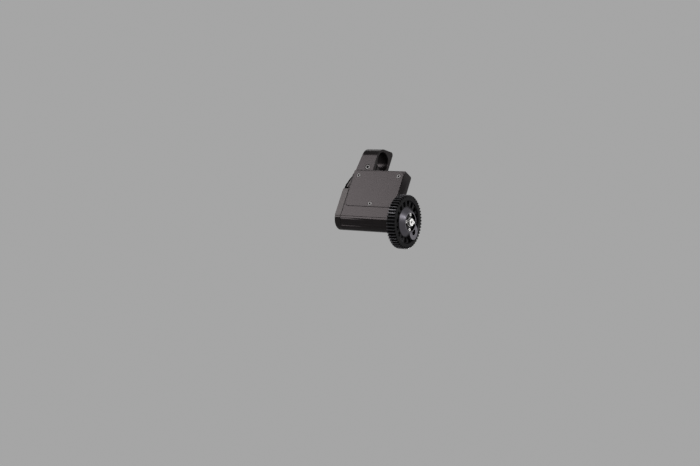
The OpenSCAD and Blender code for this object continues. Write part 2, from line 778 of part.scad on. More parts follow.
module main_housing() color("dimgray") difference() {
    union() {
        difference() {
            prism_x(housing_rear_x, housing_front_x) body_outline();
            box_cavity();
        }
        // Posts that take the plate's screws and the cap's screws
        at_plate_screws() rod_y(plate_seat_y, plate_seat_y + plate_screw_len, plate_boss_r);
        cap_screw_posts();
        // Posts that carry the main board
        at_board_screws() rod_y(board_far_y, cavity_far + seat, board_post_r);
    }
    // Seat of the cover plate
    prism_y(plate_y0 - cut, plate_seat_y)
        rounded_rect(plate_x0 - plate_gap, plate_x1 + plate_gap, plate_z0 - plate_gap, plate_z1 + plate_gap,
            plate_round + plate_gap);
    // Barrel bore, front bearing seat and the retainer's recess
    on_axis() {
        rod_x(housing_rear_x - cut, front_wall_x, barrel_bore_r);
        rod_x(front_wall_x - cut, housing_front_x, bearing_r - bearing_shoulder);
        rod_x(front_bearing_x, housing_front_x + cut, bearing_r + seat);
        rod_x(housing_front_x - retainer_t, housing_front_x + cut, retainer_r + seat);
        at_retainer_screws() rod_x(retainer_screw_x - hole_spare, housing_front_x, retainer_screw_r + seat);
    }
    side_grooves(housing_rear_x - cut, housing_front_x + cut);
    front_edges();
    at_cap_screws()
        rod_x(housing_rear_x - cut, cap_head_seat + cap_screw_len + hole_spare, cap_screw_r + seat);
    at_plate_screws() rod_y(plate_y0, plate_y0 + plate_screw_len + hole_spare, plate_screw_r + seat);
    at_board_screws() rod_y(board_near_y - cut, far_y - board_skin, board_screw_r + seat);
    // Holes for the two screws that carry the clamp, with room for their heads
    at_mount_screws() {
        rod_z(cavity_top - cut, top_z + cut, mount_screw_r + hole_fit);
        rod_z(cavity_top - mount_head_h - hole_fit, cavity_top, mount_head_r + hole_fit);
    }
    // Hollows for the connectors' shells
    at_sockets() rod_x(housing_rear_x - cut, socket_end_x + hole_spare, socket_r + hole_fit);
    // Slot for the motor's leads, from the barrel up to the box
    block(housing_rear_x - cut, lead_rise_x + lead_t + lead_room, lead_mid_y - lead_pitch,
        lead_mid_y + lead_pitch, axis_z + barrel_bore_r - 1, cavity_floor + cut);
}

module rear_outline_cut(y0, y1)
    // Everything behind the large curve at the upper corner
    difference() {
        block(cap_rear_x - cut, cap_curve_x, y0, y1, -cap_curve_drop, top_z + cut);
        translate([cap_curve_x, 0, -cap_curve_drop]) rod_y(y0 - cut, y1 + cut, cap_curve_r, $fn = 128);
    }

module rear_cap() color("dimgray") difference() {
    union() {
        difference() {
            prism_x(cap_rear_x, gasket_rear_x) body_outline();
            rear_outline_cut(near_y - cut, far_y + cut);
            // Shoulder recess in the upper near corner
            block(
                cap_rear_x - cut, shoulder_x, near_y - cut, near_y + shoulder_t,
                -shoulder_drop, top_z + cut
            );
        }
        // Flat pads round the connectors
        at_sockets() rod_x(cap_rear_x, gasket_rear_x - cap_front_wall, socket_pad_r);
        // Spigot that centres the cap in the barrel
        on_axis()
            rod_x(gasket_rear_x - cap_front_wall, housing_rear_x + spigot_len, barrel_bore_r - spigot_fit);
    }
    on_axis() {
        rod_x(gasket_rear_x - cap_front_wall - seat, housing_rear_x + spigot_len + cut,
            barrel_bore_r - spigot_fit - spigot_wall);
        // Room for the encoder
        rod_x(cap_rear_x + cap_wall, gasket_rear_x + cut, encoder_room_r);
        rear_round();
    }
    at_sockets() rod_x(cap_rear_x - cut, gasket_rear_x + cut, socket_r + seat);
    side_grooves(cap_rear_x - cut, gasket_rear_x + cut);
    at_cap_screws() {
        rod_x(cap_rear_x - cut, gasket_rear_x + cut, cap_screw_r + hole_fit);
        rod_x(cap_rear_x - cut, cap_head_seat, cap_head_r + hole_fit);
    }
    // Way for the encoder's leads into the box
    block(cap_rear_x + cap_wall, housing_rear_x + cut, axis_y - encoder_way / 2, axis_y + encoder_way / 2,
        axis_z + encoder_r, cavity_floor + encoder_way / 2);
}

// Rounds the rear edge of the barrel's lower half
module rear_round()
    intersection() {
        rotate([0, 90, 0]) translate([0, 0, cap_rear_x]) rotate_extrude()
            difference() {
                translate([barrel_r - rear_round_r, -cut]) square([rear_round_r + 2, rear_round_r + cut]);
                translate([barrel_r - rear_round_r, rear_round_r]) circle(rear_round_r);
            }
        block(cap_rear_x - 1, cap_rear_x + rear_round_r + 1, -barrel_r - 2, barrel_r + 2,
            -barrel_r - 2, -groove_drop);
    }

module rear_gasket() color("black") difference() {
    prism_x(gasket_rear_x, housing_rear_x) difference() {
        body_outline_inset(gasket_inset);
        translate([cavity_near, cavity_floor])
            square([cavity_far - cavity_near, cavity_top - cavity_floor]);
        translate([axis_y, axis_z]) circle(barrel_bore_r);
        for (z = socket_z) translate([socket_y, z]) circle(socket_r + hole_fit);
    }
    at_cap_screws() rod_x(gasket_rear_x - cut, housing_rear_x + cut, cap_screw_r + hole_fit);
}

module body_outline_inset(t) {
    r = box_round - t;
    translate([near_y + t, axis_z]) square([box_depth - t - box_round, top_z - t - axis_z]);
    translate([near_y + t, axis_z]) square([box_depth - 2 * t, top_z - axis_z - box_round]);
    translate([far_y - box_round, top_z - box_round]) circle(r);
    translate([axis_y, axis_z]) circle(barrel_r - t);
}

module rear_cap_screws() color("silver") at_cap_screws() difference() {
    union() {
        rod_x(cap_head_seat - cap_head_h, cap_head_seat, cap_head_r);
        rod_x(cap_head_seat, cap_head_seat + cap_screw_len, cap_screw_r);
    }
    hex_socket([0, 90, 0], cap_head_seat - cap_head_h, cap_hex_t, cap_hex_w);
}

// Cover plate

module cover_plate() color("dimgray") difference() {
    prism_y(plate_y0, plate_y1) rounded_rect(plate_x0, plate_x1, plate_z0, plate_z1, plate_round);
    at_plate_screws() {
        rod_y(plate_y0 - cut, plate_y1 + cut, plate_screw_r + hole_fit);
        rod_y(plate_y0 - cut, plate_y0 + plate_head_t, plate_head_r + hole_fit);
    }
}

module cover_gasket() color("black") difference() {
    prism_y(plate_y1, plate_seat_y) difference() {
        rounded_rect(plate_x0 + plate_gasket_inset, plate_x1 - plate_gasket_inset,
            plate_z0 + plate_gasket_inset, plate_z1 - plate_gasket_inset, plate_round - plate_gasket_inset);
        rounded_rect(plate_x0 + plate_border, plate_x1 - plate_border,
            plate_z0 + plate_border, plate_z1 - plate_border, plate_window_round);
    }
    at_plate_screws() rod_y(plate_y1 - cut, plate_seat_y + cut, plate_screw_r + hole_fit);
}

module cover_screws() color("gray") at_plate_screws() difference() {
    face_y = plate_y0 - plate_head_proud;
    union() {
        rod_y(face_y, plate_y0 + plate_head_t, plate_head_r);
        rod_y(plate_y0 + plate_head_t, plate_y0 + plate_screw_len, plate_screw_r);
    }
    hex_socket([-90, 0, 0], face_y, plate_hex_t, plate_hex_w);
}

// Rod clamp

module clamp_outline() {
    circle(ring_r);
    translate(clamp_corner) circle(clamp_corner_r);
    polygon([
        [-clamp_near, top_z],
        [clamp_back, top_z],
        [clamp_back, clamp_corner[1]],
        clamp_corner,
        clamp_corner + polar(clamp_corner_r - seat, clamp_tangent),
        polar(ring_r - seat, clamp_tangent),
        [0, 0],
        [-clamp_near, 0]
    ]);
}

module clamp_side_outline()
    polygon([
        [clamp_half, top_z],
        [clamp_half, clamp_rise + cut],
        [-clamp_half, clamp_rise + cut],
        [-clamp_half, flat_rise],
        [-clamp_half - foot_flare, top_z]
    ]);

// The rod's bore with its broken mouths, drawn along the first axis
module clamp_bore() {
    mouth_r = bore_r + mouth_chamfer;
    rotate([0, 90, 0]) rotate_extrude()
        polygon([
            [0, -clamp_half - foot_flare - cut],
            [mouth_r, -clamp_half - foot_flare - cut],
            [mouth_r, -clamp_half],
            [bore_r, -clamp_half + mouth_chamfer],
            [bore_r, clamp_half - mouth_chamfer],
            [mouth_r + cut, clamp_half + cut],
            [0, clamp_half + cut]
        ]);
}

module clamp_block() color("dimgray") difference() {
    intersection() {
        prism_x(-clamp_half - foot_flare - cut, clamp_half) clamp_outline();
        prism_y(-clamp_near - cut, clamp_back + cut) clamp_side_outline();
    }
    clamp_bore();
    // The slit that makes the near side a sprung jaw, with a gap under the jaw
    block(-clamp_half - foot_flare - 1, clamp_half + 1, jaw_y, jaw_y + slit_w, top_z - cut, 0);
    block(
        -clamp_half - foot_flare - 1, clamp_half + 1, -clamp_near - 1, jaw_y + seat,
        top_z - cut, top_z + jaw_lift
    );
    // Screw hole, threaded in the jaw and clear in the block
    translate([clamp_screw_x, 0, clamp_screw_z]) {
        rod_y(-clamp_near - cut, jaw_y + cut, clamp_screw_r + run_fit);
        rod_y(jaw_y, clamp_back + cut, clamp_screw_r + 2 * hole_fit);
        rod_y(-clamp_near - seat, -clamp_near + lead_in, clamp_screw_r + lead_in, clamp_screw_r);
    }
    at_mount_screws() rod_z(top_z - cut, top_z + mount_screw_reach, mount_screw_r + seat);
}

module clamp_mount_screws() color("silver") at_mount_screws() difference() {
    union() {
        rod_z(cavity_top - mount_head_h, cavity_top, mount_head_r);
        rod_z(cavity_top, top_z + mount_screw_reach - hole_spare, mount_screw_r);
    }
    hex_socket([0, 0, 0], cavity_top - mount_head_h, mount_hex_t, mount_hex_w);
}

module at_clamp_screw() translate([clamp_screw_x, 0, clamp_screw_z]) children();

module clamp_screw() color("silver") at_clamp_screw() difference() {
    union() {
        rod_y(clamp_screw_y0, clamp_screw_y0 + lead_in, clamp_screw_r - lead_in, clamp_screw_r);
        rod_y(clamp_screw_y0 + lead_in, clamp_screw_y1, clamp_screw_r);
    }
    hex_socket([-90, 0, 0], clamp_screw_y0, clamp_hex_t, clamp_hex_w);
}

module lever_washer() color("silver") at_clamp_screw() difference() {
    rod_y(lever_washer_y, lever_y0, lever_washer_r);
    rod_y(lever_washer_y - cut, lever_y0 + cut, clamp_screw_r + hole_fit);
}

module clamp_lever() color("silver") at_clamp_screw() difference() {
    union() {
        rod_y(lever_y0, lever_y1 - lever_edge, lever_boss_r);
        rod_y(lever_y1 - lever_edge, lever_y1, lever_boss_r, lever_boss_r - lever_edge);
        prism_y(lever_arm_y, lever_arm_y + lever_arm_t) lever_arm_outline();
    }
    rod_y(lever_y0 - cut, clamp_screw_y1 + seat, clamp_screw_r + seat);
    rod_y(lever_y1 - lever_dish_t, lever_y1 + cut, lever_dish_r);
}

module lever_arm_outline() {
    tip_r = lever_tip_d / 2;
    root_r = tip_r * lever_taper;
    polygon([[-root_r, 0], [root_r, 0], [tip_r, -lever_reach + tip_r], [-tip_r, -lever_reach + tip_r]]);
    translate([0, -lever_reach + tip_r]) circle(tip_r);
}

// Front bearing and its retainer

module bearing_retainer() color("darkgray") on_axis() difference() {
    rod_x(housing_front_x - retainer_t, housing_front_x, retainer_r);
    rod_x(housing_front_x - retainer_t - cut, housing_front_x + cut, ball_circle + hole_fit);
    at_retainer_screws() {
        rod_x(housing_front_x - retainer_t - cut, housing_front_x + cut, retainer_screw_r + seat);
        rod_x(housing_front_x - retainer_head_t, housing_front_x + seat, retainer_screw_r, retainer_head_r);
    }
}

module at_retainer_screws()
    ring_of(retainer_screw_count, retainer_screw_circle, retainer_screw_turn) children();

// The countersunk heads stand a hair below the retainer's face
module retainer_screws() color("silver") on_axis() at_retainer_screws() {
    rod_x(retainer_screw_x, housing_front_x - retainer_head_t, retainer_screw_r);
    rod_x(housing_front_x - retainer_head_t, housing_front_x - retainer_sink, retainer_screw_r,
        retainer_head_r - 2 * retainer_sink);
}

module ball_track(x)
    translate([x + bearing_w / 2, 0, 0]) rotate([0, 90, 0])
        rotate_extrude() translate([ball_circle, 0]) circle(ball_r + ball_fit, $fn = 32);

module bearing_inner_races() color("silver") on_axis()
    for (x = bearing_x)
        difference() {
            tube_x(x, x + bearing_w, ball_circle - race_gap_half, shaft_r + seat);
            ball_track(x);
        }

module bearing_outer_races() color("silver") on_axis()
    for (x = bearing_x)
        difference() {
            tube_x(x, x + bearing_w, bearing_r, ball_circle + race_gap_half);
            ball_track(x);
        }

module bearing_cages() color("goldenrod") on_axis()
    for (x = bearing_x)
        difference() {
            tube_x(x + bearing_w / 2 - cage_half, x + bearing_w / 2 + cage_half,
                ball_circle + cage_wall, ball_circle - cage_wall);
            ring_of(ball_count, ball_circle)
                translate([x + bearing_w / 2, 0, 0]) sphere(ball_r + ball_fit, $fn = 32);
        }

module bearing_balls() color("silver") on_axis()
    for (x = bearing_x)
        ring_of(ball_count, ball_circle) translate([x + bearing_w / 2, 0, 0]) sphere(ball_r, $fn = 32);

// Drive gear, hub and output shaft

module window_outline() {
    half = window_turn * window_open / 200;
    inner = [for (k = [-2 : 2]) polar(window_inner_r, half * k / 2)];
    outer = [for (k = [2 : -1 : -2]) polar(window_outer_r, half * k / 2)];
    polygon(concat(inner, outer));
}

module drive_gear() color([0.16, 0.16, 0.17]) on_axis() difference() {
    intersection() {
        prism_x(gear_rear_x, gear_front_x)
            gear_outline(gear_module, gear_teeth, gear_tip_r, gear_root_r, gear_play);
        union() {
            rod_x(gear_rear_x, gear_rear_x + tooth_break, gear_tip_r - tooth_break, gear_tip_r + seat);
            rod_x(gear_rear_x + tooth_break, gear_front_x - tooth_break, gear_tip_r + seat);
            rod_x(gear_front_x - tooth_break, gear_front_x, gear_tip_r + seat, gear_tip_r - tooth_break);
        }
    }
    rod_x(gear_rear_x - cut, web_rear_x, rim_inner_r);
    rod_x(web_front_x, gear_front_x + cut, rim_inner_r);
    rod_x(web_rear_x - cut, web_front_x + cut, sleeve_r + seat);
    prism_x(web_rear_x - cut, web_front_x + cut)
        for (k = [0 : window_count - 1]) rotate(k * window_turn) window_outline();
    translate([0, side_y, side_z]) rod_x(web_rear_x - cut, web_front_x + cut, side_hole_r);
    at_hub_screws() rod_x(web_rear_x - cut, web_front_x + cut, hub_screw_r + seat);
}

// The boss stays clear of the rim round it
module side_boss()
    intersection() {
        translate([0, side_y, side_z]) rod_x(web_front_x, web_front_x + side_boss_h, side_boss_r);
        rod_x(web_front_x - cut, web_front_x + side_boss_h + cut, rim_inner_r - boss_gap);
    }

module gear_hub() color("gray") on_axis() difference() {
    union() {
        rod_x(web_front_x, cone_front_x, cone_base_r, cone_top_r);
        rod_x(hub_rear_x, web_front_x + seat, sleeve_r);
        side_boss();
    }
    rod_x(recess_floor_x, cone_front_x + cut, recess_r);
    translate([0, side_y, side_z]) rod_x(web_front_x - cut, cone_front_x + cut, side_hole_r);
    rod_x(hub_rear_x - cut, cone_front_x, shaft_r + seat);
    block(key_rear_x, recess_floor_x + cut, -key_w / 2 - seat, key_w / 2 + seat, 0, key_top + seat);
    at_hub_screws() rod_x(web_front_x - cut, cone_front_x, hub_screw_r + run_fit);
}

module at_hub_screws() ring_of(hub_screw_count, hub_screw_circle, hub_screw_turn) children();

module hub_screws() color("silver") on_axis() at_hub_screws() difference() {
    union() {
        rod_x(recess_floor_x, recess_floor_x + hub_head_h, hub_head_r);
        rod_x(hub_screw_x, recess_floor_x + seat, hub_screw_r);
    }
    hex_socket([0, -90, 0], -recess_floor_x - hub_head_h, hub_hex_t, hub_hex_w);
}

module output_shaft() color("silver") on_axis() difference() {
    union() {
        rod_x(carrier_two_x, shaft_front_x - shaft_edge, shaft_r);
        rod_x(shaft_front_x - shaft_edge, shaft_front_x, shaft_r, shaft_r - shaft_edge);
    }
    block(key_rear_x, key_front_x, -key_w / 2 - seat, key_w / 2 + seat, key_floor, shaft_r + cut);
    rod_x(shaft_front_x - centre_screw_len, shaft_front_x + cut, centre_screw_r + seat);
}

module shaft_key() color("silver") on_axis()
    block(key_rear_x + seat, key_front_x - seat, -key_w / 2, key_w / 2, key_floor + seat, key_top);

module centre_washer() color("silver") on_axis()
    tube_x(recess_floor_x, centre_head_x, centre_washer_r, centre_screw_r + hole_fit);

module centre_screw() color("white") on_axis() difference() {
    face_x = centre_head_x + centre_head_h;
    head_r = centre_head_d / 2;
    union() {
        rod_x(centre_head_x, face_x - centre_head_edge, head_r);
        rod_x(face_x - centre_head_edge, face_x, head_r, head_r - centre_head_edge);
        rod_x(shaft_front_x - centre_screw_len + hole_spare, centre_head_x + seat, centre_screw_r);
    }
    hex_socket([0, -90, 0], -face_x, centre_hex_t, centre_hex_w);
}

// Gearbox

module gearbox_nose() color("darkgray") on_axis() difference() {
    rod_x(nose_rear_x, cartridge_front_x, cartridge_r);
    rod_x(nose_rear_x - cut, cartridge_front_x + cut, bearing_r - bearing_shoulder);
    rod_x(rear_bearing_x, cartridge_front_x + cut, bearing_r + seat);
}

module ring_gear() color("darkgray") on_axis() difference() {
    rod_x(ring_rear_x, nose_rear_x, cartridge_r);
    prism_x(ring_rear_x - cut, nose_rear_x + cut) rotate(ring_turn) ring_outline();
}

module motor_plate() color("darkgray") on_axis() difference() {
    rod_x(motor_plate_x, ring_rear_x, cartridge_r);
    rod_x(motor_plate_x - cut, ring_rear_x + cut, bush_r + seat);
    at_motor_screws() {
        rod_x(motor_plate_x - cut, ring_rear_x + cut, motor_screw_r + run_fit);
        rod_x(motor_head_x, ring_rear_x + cut, motor_head_r + run_fit);
    }
}

module at_motor_screws() ring_of(2, motor_screw_circle) children();

module motor_plate_screws() color("silver") on_axis() at_motor_screws() {
    rod_x(motor_front_x - can_front_wall, motor_head_x + seat, motor_screw_r);
    rod_x(motor_head_x, motor_head_x + motor_head_h, motor_head_r);
}

module planet_at(k)
    translate([0, planet_orbit * cos(planet_place(k)), planet_orbit * sin(planet_place(k))]) children();

module planet(x, w, k) color("goldenrod") on_axis() planet_at(k) difference() {
    prism_x(x, x + w) rotate(planet_turn(k)) pinion_outline(planet_teeth);
    rod_x(x - cut, x + w + cut, planet_pin_r + pin_fit);
}

module carrier_pins(x, plate_x) color("silver") on_axis()
    ring_of(planet_count, planet_orbit) rod_x(x - pin_overhang, plate_x + carrier_t, planet_pin_r);

module carrier(x, hole_r) color("lightgray") on_axis() difference() {
    rod_x(x, x + carrier_t, carrier_r);
    rod_x(x - cut, x + carrier_t + cut, hole_r + seat);
    ring_of(planet_count, planet_orbit) rod_x(x - cut, x + carrier_t + cut, planet_pin_r + seat);
}

module carrier_two() carrier(carrier_two_x, shaft_r);
module carrier_two_pins() carrier_pins(planet_two_x, carrier_two_x);
module planet_two_1() planet(planet_two_x, planet_two_w, 0);
module planet_two_2() planet(planet_two_x, planet_two_w, 1);
module planet_two_3() planet(planet_two_x, planet_two_w, 2);
module carrier_one() carrier(carrier_one_x, pinion_neck_r);
module carrier_one_pins() carrier_pins(planet_one_x, carrier_one_x);
module planet_one_1() planet(planet_one_x, planet_one_w, 0);
module planet_one_2() planet(planet_one_x, planet_one_w, 1);
module planet_one_3() planet(planet_one_x, planet_one_w, 2);

module sun_two() color("silver") on_axis() {
    rod_x(carrier_one_x, carrier_one_x + carrier_t + seat, pinion_neck_r);
    prism_x(carrier_one_x + carrier_t, planet_two_x + planet_two_w - pinion_play) pinion_outline(sun_teeth);
}

module sun_one() color("silver") on_axis() difference() {
    prism_x(ring_rear_x + gap_x, rotor_front_x) pinion_outline(sun_teeth);
    rod_x(ring_rear_x, rotor_front_x + cut, rotor_shaft_r + seat);
}

// Motor

module motor_can() color("silver") on_axis() difference() {
    rod_x(can_rear_x, motor_front_x, cartridge_r);
    rod_x(can_rear_x - cut, motor_front_x - can_front_wall, can_inner_r);
    rod_x(motor_front_x - can_front_wall - cut, motor_front_x + cut, bush_r + seat);
    at_motor_screws()
        rod_x(motor_front_x - can_front_wall - cut, motor_front_x + cut, motor_screw_r + seat);
}

module motor_magnet() color("dimgray") on_axis()
    tube_x(core_rear_x - magnet_over, core_front_x + magnet_over, can_inner_r - seat, magnet_inner_r);

module motor_bushes() color("goldenrod") on_axis() {
    tube_x(motor_front_x - can_front_wall - bush_inset, motor_front_x + front_bush_out, bush_r,
        rotor_shaft_r + run_fit);
    tube_x(motor_rear_x + lead_inset, can_rear_x + bush_inset, bush_r, rotor_shaft_r + run_fit);
}

module motor_end_cap() color("white") on_axis() difference() {
    union() {
        rod_x(motor_rear_x, can_rear_x, cartridge_r);
        tube_x(can_rear_x - seat, can_rear_x + end_cap_collar, can_inner_r - 2 * seat, can_inner_r - 1);
    }
    rod_x(motor_rear_x - cut, can_rear_x + cut, bush_r + seat);
    for (side = [-1, 1])
        block(motor_rear_x - cut, can_rear_x + cut, -brush_arm_w / 2 - hole_fit, brush_arm_w / 2 + hole_fit,
            side * brush_arm_z - brush_slot / 2, side * brush_arm_z + brush_slot / 2);
    // Notch that the leads rise through
    block(motor_rear_x - cut, lead_rear_x + lead_t + lead_room, lead_mid_y - axis_y - lead_pitch,
        lead_mid_y - axis_y + lead_pitch, lead_foot_z - axis_z, cartridge_r + cut);
}

// Two carbon brushes on spring arms that stand in the end cap
module motor_brushes() color("goldenrod") on_axis()
    for (side = [0, 180])
        rotate([side, 0, 0]) {
            block(motor_rear_x + lead_inset, brush_front_x, -brush_arm_w / 2, brush_arm_w / 2,
                brush_arm_z - brush_arm_t / 2, brush_arm_z + brush_arm_t / 2);
            block(brush_front_x - brush_len, brush_front_x, -brush_w / 2, brush_w / 2,
                commutator_r + brush_play, brush_arm_z);
        }

module rotor_shaft() color("silver") on_axis() rod_x(rotor_rear_x, rotor_front_x, rotor_shaft_r);

module rotor_core() color("gray") on_axis() difference() {
    rod_x(core_rear_x, core_front_x, core_r);
    rod_x(core_rear_x - cut, core_front_x + cut, rotor_shaft_r + seat);
    for (k = [0 : pole_count - 1])
        rotate([k * 360 / pole_count, 0, 0]) {
            block(
                core_rear_x - cut, core_front_x + cut, slot_floor_r, core_r + cut,
                -pole_slot / 2, pole_slot / 2
            );
            translate([0, winding_circle, 0])
                rod_x(core_rear_x - cut, core_front_x + cut, winding_hole_r);
        }
}

module rotor_windings() color("peru") on_axis()
    for (k = [0 : pole_count - 1])
        rotate([k * 360 / pole_count, 0, 0]) translate([0, winding_circle, 0])
            rod_x(core_rear_x - winding_over, core_front_x + winding_over, winding_hole_r - winding_fit);

module commutator() color("peru") on_axis() difference() {
    tube_x(commutator_rear_x, commutator_front_x, commutator_r, rotor_shaft_r + seat);
    for (k = [0 : pole_count - 1])
        rotate([(k + 0.5) * 360 / pole_count, 0, 0])
            block(commutator_rear_x - cut, commutator_front_x - segment_gap_t, commutator_r - segment_gap_t,
                commutator_r + cut, -segment_gap / 2, segment_gap / 2);
}

module encoder_disc() color("black") on_axis()
    tube_x(encoder_disc_x, encoder_disc_x + encoder_disc_t, encoder_r, rotor_shaft_r + seat);

module encoder_board() color("darkgreen") on_axis() {
    rod_x(encoder_board_x, encoder_board_x + board_t, encoder_board_r);
    block(encoder_board_x - encoder_foot_t, encoder_board_x, -encoder_foot_w / 2, encoder_foot_w / 2,
        -encoder_foot_w / 2, encoder_foot_w / 2);
}

module motor_leads() color("firebrick")
    for (y = [lead_mid_y - lead_pitch / 2, lead_mid_y + lead_pitch / 2]) {
        y0 = y - lead_t / 2;
        y1 = y + lead_t / 2;
        block(lead_rear_x, lead_rear_x + lead_t, y0, y1, lead_foot_z, lead_slot_z + lead_t);
        block(lead_rear_x, lead_rise_x + lead_t, y0, y1, lead_slot_z, lead_slot_z + lead_t);
        block(lead_rise_x, lead_rise_x + lead_t, y0, y1, lead_slot_z, lead_plug_z + lead_t);
        block(lead_rise_x, plug_x0, y0, y1, lead_plug_z, lead_plug_z + lead_t);
    }

// Main board with its chips and its plug-in socket

module main_board() color("darkgreen") {
    difference() {
        block(board_x0, board_x1, board_near_y, board_far_y, board_z0, board_z1);
        at_board_screws() rod_y(board_near_y - cut, board_far_y + cut, board_screw_r + hole_fit);
        at_plate_screws() rod_y(board_near_y - cut, board_far_y + cut, plate_boss_r + board_clear);
    }
    for (c = chips)
        block(board_x0 + c[0], board_x0 + c[0] + c[2], board_near_y - c[4], board_near_y,
            board_z0 + c[1], board_z0 + c[1] + c[3]);
    block(plug_x0, plug_x0 + plug_w, board_near_y - plug_t, board_near_y, plug_z0, plug_z0 + plug_h);
}

module board_screws() color("silver") at_board_screws() {
    rod_y(board_near_y - board_head_h, board_near_y, board_head_r);
    rod_y(board_near_y - seat, far_y - 1.5 * board_skin, board_screw_r);
}

// Connectors

module socket_shells() color("silver") at_sockets() difference() {
    union() {
        rod_x(cap_rear_x, socket_end_x, socket_r);
        rod_x(socket_mouth_x, cap_rear_x, socket_flange_r);
    }
    rod_x(socket_mouth_x - cut, socket_end_x + cut, socket_bore / 2);
}

module socket_inserts() color("black") at_sockets() difference() {
    rod_x(socket_insert_x, socket_end_x, socket_bore / 2 - seat);
    socket_pin_places() rod_x(socket_insert_x - cut, socket_end_x + cut, pin_d / 2 + seat);
}

module socket_pin_places() {
    children();
    ring_of(pin_ring_count, pin_circle) children();
}

module socket_pins() color("gold") at_sockets() socket_pin_places()
    rod_x(socket_insert_x - pin_reach, socket_end_x + pin_tail, pin_d / 2);

main_housing();
rear_cap();
rear_gasket();
rear_cap_screws();
cover_plate();
cover_gasket();
cover_screws();
bearing_retainer();
retainer_screws();
clamp_block();
clamp_mount_screws();
clamp_screw();
clamp_lever();
lever_washer();
drive_gear();
gear_hub();
hub_screws();
centre_screw();
centre_washer();
output_shaft();
shaft_key();
bearing_inner_races();
bearing_outer_races();
bearing_cages();
bearing_balls();
gearbox_nose();
ring_gear();
motor_plate();
motor_plate_screws();
carrier_two();
carrier_two_pins();
planet_two_1();
planet_two_2();
planet_two_3();
sun_two();
carrier_one();
carrier_one_pins();
planet_one_1();
planet_one_2();
planet_one_3();
sun_one();
motor_can();
motor_magnet();
motor_bushes();
motor_end_cap();
motor_brushes();
rotor_shaft();
rotor_core();
rotor_windings();
commutator();
encoder_disc();
encoder_board();
main_board();
board_screws();
socket_shells();
socket_inserts();
socket_pins();
motor_leads();
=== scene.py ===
"""Lens iris motor: finished surfaces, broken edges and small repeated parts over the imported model."""

import json
import math

import bmesh
import bpy
from mathutils import Matrix, Vector


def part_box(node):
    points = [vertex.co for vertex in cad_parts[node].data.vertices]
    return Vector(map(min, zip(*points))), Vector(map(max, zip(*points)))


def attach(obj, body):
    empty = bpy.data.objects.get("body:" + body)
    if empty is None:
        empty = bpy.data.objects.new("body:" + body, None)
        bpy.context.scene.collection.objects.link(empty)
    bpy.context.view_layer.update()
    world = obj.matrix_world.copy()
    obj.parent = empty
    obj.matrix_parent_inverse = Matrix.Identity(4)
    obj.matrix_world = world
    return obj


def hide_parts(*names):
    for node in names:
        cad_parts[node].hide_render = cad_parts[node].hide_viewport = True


bl_info = {
    "name": "Lens iris motor",
    "version": (1, 0, 0),
    "blender": (4, 5, 0),
    "location": "View3D > Sidebar > Lens motor",
    "description": "Builds the surfaces of a rod-mounted lens iris motor round its packed model",
    "category": "Object",
}

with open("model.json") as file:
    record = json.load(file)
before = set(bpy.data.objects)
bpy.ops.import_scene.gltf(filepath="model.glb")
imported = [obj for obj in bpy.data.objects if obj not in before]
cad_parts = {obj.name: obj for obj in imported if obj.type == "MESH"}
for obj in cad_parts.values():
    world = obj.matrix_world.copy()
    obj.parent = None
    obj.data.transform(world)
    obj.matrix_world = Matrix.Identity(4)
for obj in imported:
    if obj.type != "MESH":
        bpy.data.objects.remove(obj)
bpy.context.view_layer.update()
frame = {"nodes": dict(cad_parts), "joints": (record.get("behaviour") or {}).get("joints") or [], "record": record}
NODES = frame["nodes"]
BODY_OF = {node: body for body, nodes in frame["record"]["behaviour"]["bodies"].items() for node in nodes}
SLOT_OF = {part["node"]: part["material_slot"] for part in frame["record"]["subparts"]}
GEAR_SPIN = next(joint for joint in frame["joints"] if joint["name"] == "gear_spin")
AXIS = Vector(GEAR_SPIN["pos_m"])

MM = 0.001
TURN = 2 * math.pi
# Points nearer than this are one
MERGE = 0.002 * MM
# An edge past this angle is broken on a copy, and stays sharp on other pieces
SHARP = math.radians(25)
# A copy's edges past this angle stay sharp after they are broken
BROKEN_SHARP = math.radians(40)
# Neighbouring faces within this angle are one flat
FLAT = math.radians(0.5)


# Settings that a user would change


def length_prop(name, description, millimetres):
    """A size whose default is given in millimetres"""
    return bpy.props.FloatProperty(
        name=name, description=description, default=millimetres * MM, unit="LENGTH")


def angle_prop(name, description, degrees):
    return bpy.props.FloatProperty(
        name=name, description=description, default=math.radians(degrees), subtype="ANGLE", unit="ROTATION")


def share_prop(name, description, default, low=0.0, high=1.0):
    return bpy.props.FloatProperty(
        name=name, description=description, default=default, min=low, max=high, subtype="FACTOR")


def count_prop(name, description, default, low, high):
    return bpy.props.IntProperty(name=name, description=description, default=default, min=low, max=high)


def place_prop(name, description, default):
    return bpy.props.FloatVectorProperty(
        name=name, description=description, default=default, subtype="TRANSLATION", unit="LENGTH")


def colour_prop(name, description, default):
    return bpy.props.FloatVectorProperty(
        name=name, description=description, default=default, subtype="COLOR", size=3, min=0, max=1)


class MotorStage(bpy.types.PropertyGroup):
    """Camera, floor and even light"""

    camera_place: place_prop("Camera place", "Where the camera stands", (0.46615, -0.63988, -0.33843))
    camera_aim: place_prop("Camera aim", "Point that the camera looks at", (0.00062, -0.00518, -0.06582))
    camera_roll: angle_prop("Camera roll", "Turn of the camera about its own line of sight", 17.28)
    lens: bpy.props.FloatProperty(
        name="Lens", description="Focal length on a frame 36 mm wide", default=54.97, min=20, max=200,
        unit="CAMERA")
    floor_drop: length_prop("Floor drop", "How far the floor lies below the rod", 420)
    floor_size: length_prop("Floor size", "Side of the square floor", 6000)
    background: colour_prop("Background", "Colour of floor and backdrop", (0.38, 0.38, 0.38))
    fill: share_prop("Fill", "Strength of the even light from all round", 0.03)
    floor_glow: share_prop("Floor glow", "Share of the floor's colour that no lamp or shadow changes", 0.86)


